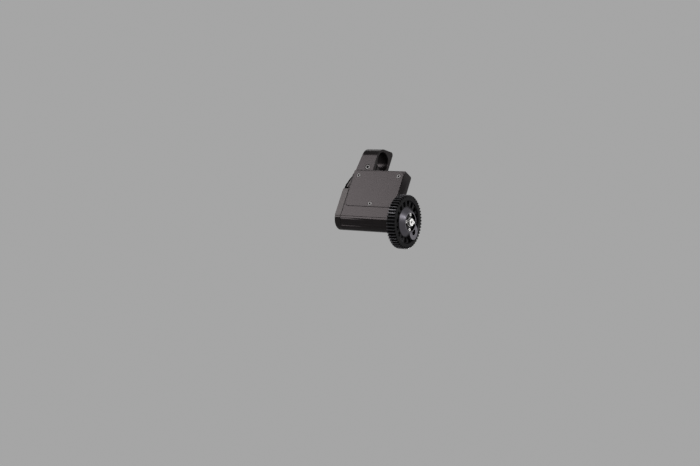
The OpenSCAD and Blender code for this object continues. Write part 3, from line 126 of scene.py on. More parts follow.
class MotorFinish(bpy.types.PropertyGroup):
    """Colours of the motor's surfaces"""

    housing: colour_prop("Housing", "Anodised metal of housing and plate", (0.0285, 0.025, 0.0257))
    # Darker than the housing's metal: painted shade on the clamp
    clamp: colour_prop("Clamp", "Anodised metal of the rod clamp", (0.024, 0.021, 0.0217))
    # Paler than the housing's metal: a painted reflection on the cap's side
    cap: colour_prop("Rear cap", "Anodised metal of the rear cap", (0.0365, 0.033, 0.033))
    gear: colour_prop("Gear", "Hard-anodised metal of the drive gear", (0.013, 0.0127, 0.0135))
    # Colour of a painted highlight on the tops of the teeth and on the gear's lips
    tooth_tip_highlight: colour_prop("Tooth tips", "Tops of the teeth, rubbed paler", (0.08, 0.078, 0.084))
    hub: colour_prop("Hub", "Turned metal of the hub's cone", (0.15, 0.143, 0.162))
    # Colour of the painted shade in the hub's recess, its hole and its lip
    hub_recess_shade: colour_prop("Hub face", "Blackened recess of the hub", (0.008, 0.0072, 0.0085))
    steel: colour_prop("Steel", "Stainless steel of screws and washers", (0.85, 0.84, 0.83))
    dark_steel: colour_prop("Dark steel", "Blackened steel of the cover screws", (0.08, 0.076, 0.076))


class MotorEdges(bpy.types.PropertyGroup):
    """Widths of the broken edges"""

    housing: length_prop("Housing edges", "Break on the edges of housing and cap", 0.26)
    front: length_prop("Front edge", "Rounding round the housing's front", 0.6)
    plate: length_prop("Plate edges", "Step round the cover plate and its screws", 0.42)
    joint: length_prop("Joint edges", "Step along the joints of the near side", 0.2)
    clamp: length_prop("Clamp edges", "Break on the edges of the rod clamp", 0.25)
    small: length_prop("Small edges", "Break on the edges of small parts", 0.08)


class MotorCap(bpy.types.PropertyGroup):
    """Sizes of the recess in the rear cap's upper near corner"""

    curve_radius: length_prop("Curve", "Radius of the cap's large upper corner", 31.7)
    curve_drop: length_prop("Curve drop", "How far the curve's centre lies below the rod", 34)
    step_drop: length_prop("Step drop", "How far the recess's step lies below the rod", 29.7)
    depth: length_prop("Depth", "Depth of the recess behind the cap's near face", 0.9)
    wall: length_prop("Wall", "Wall between the recess and the housing", 0.6)
    pad_rim: length_prop("Pad rim", "Gap between the pad in the recess and the cap's curve", 1.7)
    pad_width: length_prop("Pad width", "Width of the pad along the curve", 1.2)
    pad_gap: length_prop("Pad gap", "Gap between the pad and the recess's wall", 0.4)
    pad_height: length_prop("Pad height", "Height of the pad over the recess's floor", 0.3)


class MotorGear(bpy.types.PropertyGroup):
    """Sizes of the drive gear and its hub that their boxes don't give"""

    teeth: count_prop("Teeth", "Number of teeth", 50, 20, 120)
    pitch_radius: length_prop("Pitch radius", "Radius of the pitch circle", 20)
    root_radius: length_prop("Root radius", "Radius at the foot of the teeth", 19)
    pressure_angle: angle_prop("Pressure angle", "Pressure angle of the teeth", 20)
    play: length_prop("Play", "Gap by which each tooth is narrower than half the pitch", 0.1)
    tooth_break: length_prop("Tooth break", "Bevel at both ends of the teeth", 0.5)
    rim_radius: length_prop("Rim radius", "Inner radius of the rim", 16.4)
    rim_lip: length_prop("Rim lip", "Bevel on the rim's inner edges", 0.45)
    web_recess: length_prop("Web recess", "Depth of the web behind the rim's front", 1.1)
    web_thickness: length_prop("Web", "Thickness of the web", 3.4)
    web_radius: length_prop("Web inner radius", "Radius of the web's hole, under the hub", 7.9)
    hub_recess: length_prop("Hub recess", "Radius of the recess in the hub's face", 7.3)
    boss_reach: length_prop("Boss reach", "Distance of the side boss from the axis", 10.2)
    boss_turn: angle_prop("Boss turn", "Turn of the side boss round the axis", -24)
    boss_hole: length_prop("Boss hole", "Radius of the hole in the side boss", 2.3)
    windows: count_prop("Windows", "Number of windows", 16, 4, 40)
    window_inner: length_prop("Window inner radius", "Inner end of the windows", 12)
    window_outer: length_prop("Window outer radius", "Outer end of the windows", 16.2)
    window_share: share_prop("Window share", "Share of the circle that the windows take", 0.62, 0.1, 0.9)
    window_lip: length_prop("Window lip", "Bevel round the windows", 0.15)


class MotorSocket(bpy.types.PropertyGroup):
    """Sizes of the two connectors on the rear cap"""

    bore: length_prop("Bore", "Inner radius of the shell", 3.3)
    barrel: length_prop("Barrel", "Outer radius of the shell behind its flange", 4.2)
    flange: length_prop("Flange", "Thickness of the flange", 0.4)
    lip: length_prop("Lip", "Bevel round the mouth and the flange", 0.15)
    notch: length_prop("Spanner notch", "Depth of the four notches in the flange", 0.45)
    key_start: length_prop("Key start", "Distance from the mouth to the key", 0.9)
    key_width: length_prop("Key width", "Width of the key in the bore", 1.1)
    key_length: length_prop("Key length", "Length of the key in the bore", 4.6)


# Nodes of materials and trees


def add_node(tree, kind, inputs=(), **settings):
    """Adds a node; an input is a value or the socket that it is linked to"""
    made = tree.nodes.new(kind)
    for name, value in settings.items():
        setattr(made, name, value)
    for key, value in dict(inputs).items():
        if isinstance(value, bpy.types.NodeSocket):
            tree.links.new(value, made.inputs[key])
        else:
            made.inputs[key].default_value = value
    return made


# Node materials, with every pattern on Object coordinates in metres


class Finish:
    """One material: its Principled shader and the nodes that lead to it"""

    def __init__(self, name, **sockets):
        self.material = bpy.data.materials.new(name)
        self.material.use_nodes = True
        self.tree = self.material.node_tree
        self.shader = self.tree.nodes["Principled BSDF"]
        for socket, value in sockets.items():
            self.shader.inputs[socket.replace("_", " ")].default_value = value
        self.place = self.node("ShaderNodeTexCoord")["Object"]

    def node(self, kind, inputs=(), **settings):
        """Adds a node and returns its outputs"""
        return add_node(self.tree, kind, inputs, **settings).outputs

    def math(self, operation, first, second=0.0):
        return self.node("ShaderNodeMath", {0: first, 1: second}, operation=operation)[0]

    def vector(self, operation, first, second=(0, 0, 0)):
        return self.node("ShaderNodeVectorMath", {0: first, 1: second}, operation=operation)

    def mapped(self, scale=(1, 1, 1), turn=(0, 0, 0)):
        """Object coordinates, turned and stretched"""
        inputs = {"Vector": self.place, "Rotation": turn, "Scale": scale}
        return self.node("ShaderNodeMapping", inputs)[0]

    def from_axis(self):
        """Distance from the drive axis, which runs along X"""
        moved = self.vector("SUBTRACT", self.place, tuple(AXIS))[0]
        across = self.vector("MULTIPLY", moved, (0, 1, 1))[0]
        return self.vector("LENGTH", across)["Value"]

    def noise(self, size, detail=2.0, roughness=0.5, vector=None):
        """Noise whose grains are about that size, in metres"""
        inputs = {
            "Vector": vector or self.place, "Scale": 1 / size, "Detail": detail, "Roughness": roughness}
        return self.node("ShaderNodeTexNoise", inputs)["Fac"]

    def spread(self, value, low=0.3, high=0.7, start=0.0, end=1.0):
        """Maps a value from one range, by default the one that noises keep to, to another"""
        inputs = {"Value": value, "From Min": low, "From Max": high, "To Min": start, "To Max": end}
        return self.node("ShaderNodeMapRange", inputs)["Result"]

    def mix(self, share, first, second):
        """Colour between two colours or sockets"""
        inputs = {0: share}
        for slot, value in ((6, first), (7, second)):
            inputs[slot] = value if isinstance(value, bpy.types.NodeSocket) else (*value, 1)
        return self.node("ShaderNodeMix", inputs, data_type="RGBA")[2]

    def shade(self, pattern, colour, dark, pale):
        """Colour that a pattern varies between two shares of itself"""
        return self.mix(self.spread(pattern), scaled(colour, dark), scaled(colour, pale))

    def colour(self, socket):
        self.tree.links.new(socket, self.shader.inputs["Base Color"])

    def roughness(self, socket):
        self.tree.links.new(socket, self.shader.inputs["Roughness"])

    def uneven(self, pattern, low, high):
        """Roughness that a pattern varies"""
        self.roughness(self.spread(pattern, start=low, end=high))

    def bump(self, height, depth, strength=0.6):
        """Adds a bump of that depth in metres over the bumps made before"""
        inputs = {"Height": height, "Strength": strength, "Distance": depth}
        target = self.shader.inputs["Normal"]
        if target.links:
            inputs["Normal"] = target.links[0].from_socket
        self.tree.links.new(self.node("ShaderNodeBump", inputs)[0], target)

    def attribute(self, name):
        """A face attribute from 0 to 1: edge on broken edges, which finishes paint paler as worn metal and as a
        painted highlight, and the painted shade mark in joints, recesses, holes and sockets, which finishes paint
        dark as shade
        """
        return self.node("ShaderNodeAttribute", attribute_name=name)["Fac"]

    def marked(self, name, share, tone, colour):
        """The tone, with a share of another colour where the faces carry the attribute"""
        return self.mix(self.math("MULTIPLY", self.attribute(name), share), tone, colour)


def scaled(colour, share):
    return tuple(min(1, c * share) for c in colour)


# Shader values of black anodised metal, which mirrors little of its surroundings
BLACK_ANODISED = {"Metallic": 0.65, "Specular_IOR_Level": 0.1, "Specular_Tint": (0.55, 0.55, 0.55, 1)}


def anodised(name, colour, roughness, grain=0.12 * MM):
    """Bead-blasted and anodised aluminium; its broken edges go paler, partly as worn edges and partly as a painted
    highlight, and its joints and recesses near black as painted shade
    """
    worn_and_lit_colour = (0.13, 0.12, 0.12)
    wear_and_highlight = 0.6
    finish = Finish(name, **BLACK_ANODISED)
    cloud = finish.noise(9 * MM, 3)
    speckle = finish.spread(finish.noise(0.5 * MM), 0.35, 0.65, 0, 0.3)
    tone = finish.mix(speckle, finish.shade(cloud, colour, 0.94, 1.06), scaled(colour, 0.82))
    rubbed_and_lit = finish.spread(finish.noise(1.6 * MM, 4, 0.7), 0.4, 0.62)
    # Paler broken edges where a noise says: partly worn metal, partly a painted highlight along the edges
    tone = finish.marked("edge", finish.math("MULTIPLY", rubbed_and_lit, wear_and_highlight), tone, worn_and_lit_colour)
    # Faces with the painted shade mark, in joints and the cap's recess, go near black: painted shade
    finish.colour(finish.marked("seam", 1.0, tone, scaled(colour, 0.08)))
    skin_roughness = finish.spread(cloud, start=roughness - 0.012, end=roughness + 0.015)
    # Fully rough where the painted shade lies, so that it shows no sheen
    finish.roughness(finish.math("MAXIMUM", skin_roughness, finish.attribute("seam")))
    finish.bump(finish.noise(grain, 2, 0.6), 0.006 * MM)
    return finish.material


def gear_anodised(name, colour, tip_highlight_colour, tip_radius):
    """Hard-anodised black gear, paler on the tops of its teeth and on its lips as a painted highlight, which a
    noise makes uneven
    """
    depth = 0.5 * MM
    finish = Finish(name, **BLACK_ANODISED)
    cloud = finish.noise(5 * MM, 3)
    rubbed_and_lit = finish.spread(finish.noise(1.2 * MM, 3, 0.6), 0.25, 0.6, 0.55, 1)
    # Tops of the teeth painted paler: a painted highlight where they catch the light
    top = finish.spread(finish.from_axis(), tip_radius - depth, tip_radius - depth / 3)
    tone = finish.shade(cloud, colour, 0.85, 1.2)
    tone = finish.mix(finish.math("MULTIPLY", top, rubbed_and_lit), tone, tip_highlight_colour)
    # Lips round the rim and the windows painted paler: a painted highlight
    finish.colour(finish.marked("edge", 0.6, tone, tip_highlight_colour))
    finish.uneven(cloud, 0.3, 0.4)
    finish.bump(finish.noise(0.1 * MM, 2, 0.6), 0.008 * MM)
    return finish.material


def turned_metal(name, colour, roughness, pitch=0.12 * MM, depth=0.004 * MM, core=None, core_shade_colour=None,
                 edge_share=1.5):
    """Metal with the fine rings of a lathe round the drive axis; painted darker as shade inside core radius and in
    its sockets, holes and lips, and paler along its broken edges as a painted highlight
    """
    finish = Finish(name, Metallic=1.0)
    from_axis = finish.from_axis()
    rings = finish.math("SINE", finish.math("MULTIPLY", from_axis, TURN / pitch))
    outwards = finish.node("ShaderNodeCombineXYZ", {"X": from_axis})[0]
    streaks = finish.noise(2.4 * pitch, 1, 0.5, outwards)
    tone = finish.shade(streaks, colour, 0.9, 1.08)
    # Broken edges paler by edge_share: a painted highlight
    tone = finish.marked("edge", 0.6, tone, scaled(colour, edge_share))
    if core:
        # Inside the core radius, the hub's recess, the darker colour is painted shade
        tone = finish.mix(finish.spread(from_axis, core, core + 0.05 * MM), core_shade_colour, tone)
    # Faces with the painted shade mark, such as sockets, holes and the recess's lip, go darker: painted shade
    finish.colour(finish.marked("seam", 1.0, tone, core_shade_colour or scaled(colour, 0.7)))
    finish.uneven(finish.noise(3 * MM, 3), roughness - 0.04, roughness + 0.06)
    finish.bump(finish.math("ADD", rings, streaks), depth, 0.5)
    return finish.material


def blackened(name, colour, rim_wear_and_highlight_colour):
    """Blackened steel, paler along its rims partly as worn steel and partly as a painted highlight, and near black
    in its sockets as painted shade
    """
    finish = Finish(name, Metallic=0.9, Specular_IOR_Level=0.2, Specular_Tint=(0.7, 0.7, 0.7, 1))
    cloud = finish.noise(1.5 * MM, 3)
    # Paler rims: partly worn steel, partly a painted highlight
    tone = finish.marked("edge", 0.85, finish.shade(cloud, colour, 0.8, 1.2), rim_wear_and_highlight_colour)
    # Sockets go near black: painted shade
    finish.colour(finish.marked("seam", 1.0, tone, scaled(colour, 0.05)))
    finish.uneven(cloud, 0.32, 0.42)
    finish.bump(finish.noise(0.15 * MM), 0.006 * MM)
    return finish.material


def milled_metal(name, colour, roughness, stretch, metallic=1.0):
    """Metal with short straight tool marks along the axis that is stretched"""
    finish = Finish(name, Metallic=metallic)
    lines = finish.noise(0.16 * MM, 2, 0.6, finish.mapped(stretch))
    tone = finish.shade(lines, colour, 0.88, 1.08)
    finish.colour(finish.marked("edge", 0.3, tone, scaled(colour, 1.35)))
    finish.uneven(finish.noise(2.5 * MM, 3), roughness - 0.05, roughness + 0.05)
    finish.bump(lines, 0.006 * MM)
    return finish.material


def moulded(name, colour, roughness, grain=0.2 * MM):
    """Moulded plastic or rubber with a fine eroded skin"""
    finish = Finish(name)
    skin_grain = finish.noise(grain, 3, 0.6)
    finish.colour(finish.shade(finish.noise(4 * MM), colour, 0.85, 1.2))
    finish.uneven(skin_grain, roughness - 0.05, roughness + 0.06)
    finish.bump(skin_grain, 0.01 * MM)
    return finish.material


def laminate(name, colour):
    """Green solder mask over copper tracks that show as slightly raised, paler lines"""
    finish = Finish(name, Specular_IOR_Level=0.5)
    black = (0, 0, 0, 1)
    tracks = finish.node("ShaderNodeTexBrick", {
        "Vector": finish.mapped(turn=(math.pi / 2, 0, 0)), "Scale": 1 / (2.2 * MM), "Mortar Size": 0.06,
        "Color1": black, "Color2": black, "Mortar": (1, 1, 1, 1)})["Fac"]
    finish.colour(finish.mix(tracks, colour, scaled(colour, 1.9)))
    finish.uneven(finish.noise(1 * MM), 0.28, 0.4)
    finish.bump(tracks, 0.03 * MM, 0.5)
    return finish.material


def lacquered_wire(name, colour):
    """Enamelled copper whose turns lie side by side across the rotor"""
    wire = 0.22 * MM
    finish = Finish(name, Metallic=0.9, Coat_Weight=0.5)
    turns = finish.math("SINE", finish.math("MULTIPLY", finish.from_axis(), TURN / wire))
    finish.colour(finish.mix(finish.spread(turns, -1, 1), scaled(colour, 0.55), scaled(colour, 1.1)))
    finish.roughness(finish.spread(turns, -1, 1, 0.4, 0.25))
    finish.bump(turns, 0.03 * MM, 0.8)
    return finish.material


def make_finishes(colours, gear_tip, hub_recess):
    """All materials by the record's slot names, with two more for the rear cap and the rod clamp, whose colours
    paint light and shade on the housing's metal
    """
    return {
        "housing_metal": anodised("housing_anodised", colours.housing, 0.3),
        # The cap is painted paler as a reflection and the clamp darker as shade, on the housing's anodised metal
        "cap_metal": anodised("cap_anodised", colours.cap, 0.32),
        "clamp_metal": anodised("clamp_anodised", colours.clamp, 0.28),
        "gear_metal": gear_anodised("gear_anodised", colours.gear, colours.tooth_tip_highlight, gear_tip),
        # The hub is painted dark as shade in its recess, hole and lip, and paler along its edges as a highlight
        "hub_metal": turned_metal("hub_turned", colours.hub, 0.36, core=hub_recess,
                                  core_shade_colour=colours.hub_recess_shade, edge_share=2.2),
        "bright_steel": turned_metal("steel_turned", colours.steel, 0.3),
        "dark_steel": blackened("steel_blackened", colours.dark_steel, scaled(colours.steel, 0.55)),
        "lever_metal": anodised("lever_coated", (0.05, 0.05, 0.052), 0.36, 0.15 * MM),
        "bearing_steel": turned_metal("steel_ground", (0.6, 0.6, 0.6), 0.16, 0.06 * MM, 0.001 * MM),
        "gear_steel": turned_metal("steel_machined", (0.42, 0.42, 0.43), 0.32),
        "bearing_brass": turned_metal("brass_machined", (0.71, 0.52, 0.2), 0.28),
        "can_steel": milled_metal("can_nickel", (0.62, 0.62, 0.62), 0.28, (0.08, 1, 1)),
        "core_iron": milled_metal("core_laminations", (0.16, 0.16, 0.17), 0.5, (1, 0.05, 0.05), 0.8),
        "copper": lacquered_wire("copper_wire", (0.72, 0.36, 0.19)),
        "gasket_rubber": moulded("gasket_rubber", (0.012, 0.012, 0.012), 0.7),
        "board_laminate": laminate("board_green", (0.02, 0.14, 0.07)),
        "insulator": moulded("insulator_black", (0.02, 0.02, 0.02), 0.45),
        "socket_metal": turned_metal("socket_chrome", (0.55, 0.55, 0.54), 0.24),
        "contact_gold": milled_metal("contact_gold", (0.83, 0.65, 0.26), 0.2, (0.1, 1, 1)),
        "lead_insulation": moulded("lead_silicone", (0.35, 0.03, 0.02), 0.5, 0.4 * MM),
    }


# The materials, once their operator has run
FINISHES = {}


# Mesh helpers


def new_object(name, mesh):
    made = bpy.data.objects.new(name, mesh)
    bpy.context.scene.collection.objects.link(made)
    return made


def smooth(mesh, angle=SHARP):
    """Shades a mesh smooth and keeps its sharper edges"""
    for polygon in mesh.polygons:
        polygon.use_smooth = True
    mesh.set_sharp_from_angle(angle=angle)


def baked(made):
    """Turns an object's modifiers into a plain mesh"""
    evaluated = made.evaluated_get(bpy.context.evaluated_depsgraph_get())
    mesh = bpy.data.meshes.new_from_object(evaluated)
    made.modifiers.clear()
    made.data = mesh
    return made


def weighted(made):
    """Lets wide faces set the shading, so that flats look flat beside their broken edges"""
    made.modifiers.new("weighted", "WEIGHTED_NORMAL").keep_sharp = True
    return baked(made)


def placed(made, body, slot, *nodes, material=None):
    """Gives a finished piece its material, that of its slot unless one is given, and its body, and hides the CAD
    nodes that it stands for
    """
    made.data.materials.clear()
    made.data.materials.append(material or FINISHES[slot])
    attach(made, body)
    if nodes:
        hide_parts(*nodes)


def rounding(width, chosen=None, segments=2, mark="edge"):
    """Way to break edges: width, segments, profile, the new faces' attribute and a test of the edges"""
    return width, segments, 0.5, mark, chosen


def rebate(width, chosen=None):
    """Square step along an edge, painted black as the shade in a joint"""
    return width, 2, 0.0, "seam", chosen


def welded(node):
    """Mesh in the making of a CAD node, whose loose triangles are joined"""
    shape = bmesh.new()
    shape.from_mesh(NODES[node].data)
    bmesh.ops.remove_doubles(shape, verts=shape.verts, dist=MERGE)
    return shape


def plain_mesh(name, shape, outwards=False):
    """Mesh from a mesh in the making, which ends here"""
    if outwards:
        bmesh.ops.recalc_face_normals(shape, faces=shape.faces)
    mesh = bpy.data.meshes.new(name)
    shape.to_mesh(mesh)
    shape.free()
    return mesh


def broken_copy(node, ways, dark=None):
    """Copy of a CAD node with its sharp edges broken in the given ways, one after the other

    The new faces carry their way's attribute. The old faces that dark picks, by their middle and normal,
    get the painted shade mark, and their finish paints them dark as shade.
    """
    shape = welded(node)
    bmesh.ops.dissolve_limit(shape, angle_limit=FLAT, verts=shape.verts, edges=shape.edges)
    marks = {mark: shape.faces.layers.float.new(mark) for mark in ("edge", "seam")}

    def is_new(face):
        return any(face[layer] for layer in marks.values())

    for width, segments, profile, mark, chosen in ways:
        sharp = [edge for edge in shape.edges if edge.is_manifold and edge.calc_face_angle(0) > SHARP
                 and (chosen is None or chosen(edge)) and not any(is_new(face) for face in edge.link_faces)]
        made = bmesh.ops.bevel(shape, geom=sharp, offset=width, offset_type="OFFSET", segments=segments,
                               profile=profile, affect="EDGES", clamp_overlap=True, miter_outer="SHARP")
        for face in made["faces"]:
            face[marks[mark]] = 1.0
    for face in shape.faces:
        if dark and not is_new(face) and dark(face.calc_center_median(), face.normal):
            face[marks["seam"]] = 1.0
    mesh = plain_mesh(node, shape)
    smooth(mesh, BROKEN_SHARP)
    return mesh


def dress_copy(node, name, *ways, material=None, dark=None):
    """Replaces a CAD node by its copy with broken edges"""
    made = weighted(new_object(name, broken_copy(node, ways, dark)))
    placed(made, BODY_OF[node], SLOT_OF[node], node, material=material)


def solids_of(node):
    """Lowest and highest corner of each separate solid in a CAD node"""
    shape = welded(node)
    left = set(shape.verts)
    boxes = []
    while left:
        front = [left.pop()]
        reached = []
        while front:
            vert = front.pop()
            reached.append(vert.co.copy())
            near = {edge.other_vert(vert) for edge in vert.link_edges} & left
            left -= near
            front.extend(near)
        boxes.append([Vector(pick(point[k] for point in reached) for k in range(3)) for pick in (min, max)])
    shape.free()
    return sorted(boxes, key=lambda box: tuple(box[0]))


def ring(radius, height, segments, sides=0, notch=None):
    """Points round the Z axis: a circle, a polygon with flats at that radius, or a notched circle"""
    points = []
    for k in range(segments):
        angle = TURN * k / segments
        reach = radius
        if sides:
            step = TURN / sides
            reach = radius / math.cos((angle + step / 2) % step - step / 2)
        if notch and abs(angle % (TURN / 4) - TURN / 8) < notch[1] / 2:
            reach = radius - notch[0]
        points.append(Vector((reach * math.cos(angle), reach * math.sin(angle), height)))
    return points


def loft(rows, closed=False, open_rows=False, edges=(), shaded_bands=()):
    """Mesh in the making with faces between rows of points, and its rows of vertices

    Closed joins the last row to the first, and open_rows leaves each row's two ends apart. The bands
    between rows whose number is in edges carry the edge attribute; those in the other list carry the painted shade
    mark.
    """
    shape = bmesh.new()
    layers = shape.faces.layers.float
    marks = [(layers.new(mark), bands) for mark, bands in (("edge", edges), ("seam", shaded_bands))]
    rows = [[shape.verts.new(point) for point in row] for row in rows]
    for band, (low, high) in enumerate(zip(rows, rows[1:] + rows[:1] if closed else rows[1:])):
        for k in range(len(low) - 1 if open_rows else len(low)):
            follow = (k + 1) % len(low)
            face = shape.faces.new((low[k], low[follow], high[follow], high[k]))
            for layer, bands in marks:
                face[layer] = float(band in bands)
    return shape, rows


def skin(name, loops, closed=False, edges=(), shaded_bands=()):
    """Mesh over loops of points, with both ends filled unless it is closed"""
    shape, rows = loft(loops, closed, edges=edges, shaded_bands=shaded_bands)
    if not closed:
        # A filled first end, such as a socket's floor, carries the painted shade mark along with band 0
        seam = shape.faces.layers.float["seam"]
        shape.faces.new(rows[0])[seam] = float(0 in shaded_bands)
        shape.faces.new(rows[-1])
    return plain_mesh(name, shape, outwards=True)


def socket_screw(name, head, head_height, shank, length, socket, depth):
    """Screw along Z with a hexagon socket, the top of its head at height 0"""
    segments = 48
    pitch = 0.4 * MM
    lip = 0.12 * MM
    break_in = min(0.22 * MM, head / 6)
    loops = [
        ring(socket / 2, -depth, segments, 6),
        ring(socket / 2, -lip, segments, 6),
        ring(socket / 2 + lip, 0, segments, 6),
        ring(head - break_in, 0, segments),
        ring(head, -break_in, segments),
        ring(head, -head_height, segments),
        ring(shank, -head_height, segments),
    ]
    crest = head_height + pitch
    while crest + pitch < length:
        loops.append(ring(shank, -crest, segments))
        loops.append(ring(shank - pitch / 3, -crest - pitch / 2, segments))
        crest += pitch
    loops.append(ring(shank - pitch / 2, -length, segments))
    # The socket's walls and floor carry the painted shade mark; its lip and the head's break carry edge
    return skin(name, loops, edges=(1, 3), shaded_bands=(0,))


# Geometry Nodes


class Tree:
    """A Geometry Nodes tree with named inputs"""

    def __init__(self, name, **inputs):
        self.group = bpy.data.node_groups.new(name, "GeometryNodeTree")
        sockets = self.group.interface
        sockets.new_socket("Geometry", in_out="OUTPUT", socket_type="NodeSocketGeometry")
        sockets.new_socket("Geometry", in_out="INPUT", socket_type="NodeSocketGeometry")
        for label, kind in inputs.items():
            sockets.new_socket(label, in_out="INPUT", socket_type="NodeSocket" + kind)
        self.start = self.group.nodes.new("NodeGroupInput").outputs

    def node(self, kind, inputs=(), output=0, **settings):
        """Adds a node and returns one of its outputs"""
        return add_node(self.group, kind, inputs, **settings).outputs[output]

    def turn(self, **angles):
        """Rotation by angles about X, Y or Z"""
        return self.node("FunctionNodeEulerToRotation", {0: self.node("ShaderNodeCombineXYZ", angles)})

    def finish(self, instances, join=None):
        """Ends the tree: instances become a mesh, gaps between its pieces are closed, and the mesh gets its
        material
        """
        plain = self.node("GeometryNodeRealizeInstances", {0: instances})
        if join:
            plain = self.node("GeometryNodeMergeByDistance", {"Geometry": plain, "Distance": join})
        inputs = {"Geometry": plain, "Material": self.start["Material"]}
        dressed = self.node("GeometryNodeSetMaterial", inputs)
        add_node(self.group, "NodeGroupOutput", {0: dressed})
        return self.group


def ring_tree():
    """Repeats one sector round a line along X through the centre and closes the gaps between sectors"""
    tree = Tree("ring of sectors", Count="Int", Centre="Vector", Join="Float", Material="Material")
    inputs = {"Count": tree.start["Count"], "Start Location": tree.start["Centre"], "Offset": (0, 0, 0)}
    spots = tree.node("GeometryNodeMeshLine", inputs, mode="OFFSET")
    number = tree.node("GeometryNodeInputIndex")
    turned = tree.node("ShaderNodeMath", {0: number, 1: TURN}, operation="MULTIPLY")
    angle = tree.node("ShaderNodeMath", {0: turned, 1: tree.start["Count"]}, operation="DIVIDE")
    sectors = tree.node("GeometryNodeInstanceOnPoints", {
        "Points": spots, "Instance": tree.start["Geometry"], "Rotation": tree.turn(X=angle)})
    return tree.finish(sectors, tree.start["Join"])


def places_tree():
    """Puts a piece on each point, its Z axis turned outwards and its own turn left to chance"""
    tree = Tree("piece at places", Piece="Object", Turn="Vector", Seed="Int", Material="Material")
    piece = tree.node("GeometryNodeObjectInfo", {"Object": tree.start["Piece"]}, "Geometry")
    outwards = tree.node("FunctionNodeEulerToRotation", {0: tree.start["Turn"]})
    copies = tree.node("GeometryNodeInstanceOnPoints", {
        "Points": tree.start["Geometry"], "Instance": piece, "Rotation": outwards})
    chance = {2: 0.0, 3: TURN, 8: tree.start["Seed"]}
    spin = tree.turn(Z=tree.node("FunctionNodeRandomValue", chance, 1, data_type="FLOAT"))
    return tree.finish(tree.node("GeometryNodeRotateInstances", {"Instances": copies, "Rotation": spin}))


TREES = {"ring of sectors": ring_tree, "piece at places": places_tree}


def grown(name, mesh, tree, **values):
    """Runs a tree on a mesh and keeps the plain result"""
    made = new_object(name, mesh)
    modifier = made.modifiers.new(tree, "NODES")
    modifier.node_group = bpy.data.node_groups.get(tree) or TREES[tree]()
    for item in modifier.node_group.interface.items_tree:
        if item.in_out == "INPUT" and item.name in values:
            modifier[item.identifier] = values[item.name]
    return baked(made)


# Turn that points the Z axis along each way out
OUTWARDS = {"-X": (0, -math.pi / 2, 0), "X": (0, math.pi / 2, 0), "-Y": (math.pi / 2, 0, 0)}


def faces_at(node, outwards):
    """Middle of the outer face of each solid in a CAD node, and the solids' radius and length"""
    axis = "XYZ".index(outwards[-1])
    across = (axis + 1) % 3
    spots = []
    for low, high in solids_of(node):
        spot = (low + high) / 2
        spot[axis] = low[axis] if outwards[0] == "-" else high[axis]
        spots.append(spot)
    return spots, (high[across] - low[across]) / 2, high[axis] - low[axis]


def at_places(name, piece, node, spots, outwards, seed=0):
    """Copies of a mesh along Z at the spots, as one plain object in the finish of a CAD node"""
    points = bpy.data.meshes.new(name)
    points.from_pydata(spots, [], [])
    sample = new_object(name + "_sample", piece)
    made = grown(name, points, "piece at places", Piece=sample, Turn=OUTWARDS[outwards], Seed=seed,
                 Material=FINISHES[SLOT_OF[node]])
    bpy.data.objects.remove(sample)
    smooth(made.data)
    return made


# Operators


class MotorOperator:
    """What every operator of this add-on shares"""

    bl_options = {"REGISTER", "UNDO"}

    @property
    def motor(self):
        return bpy.context.scene.lens_motor


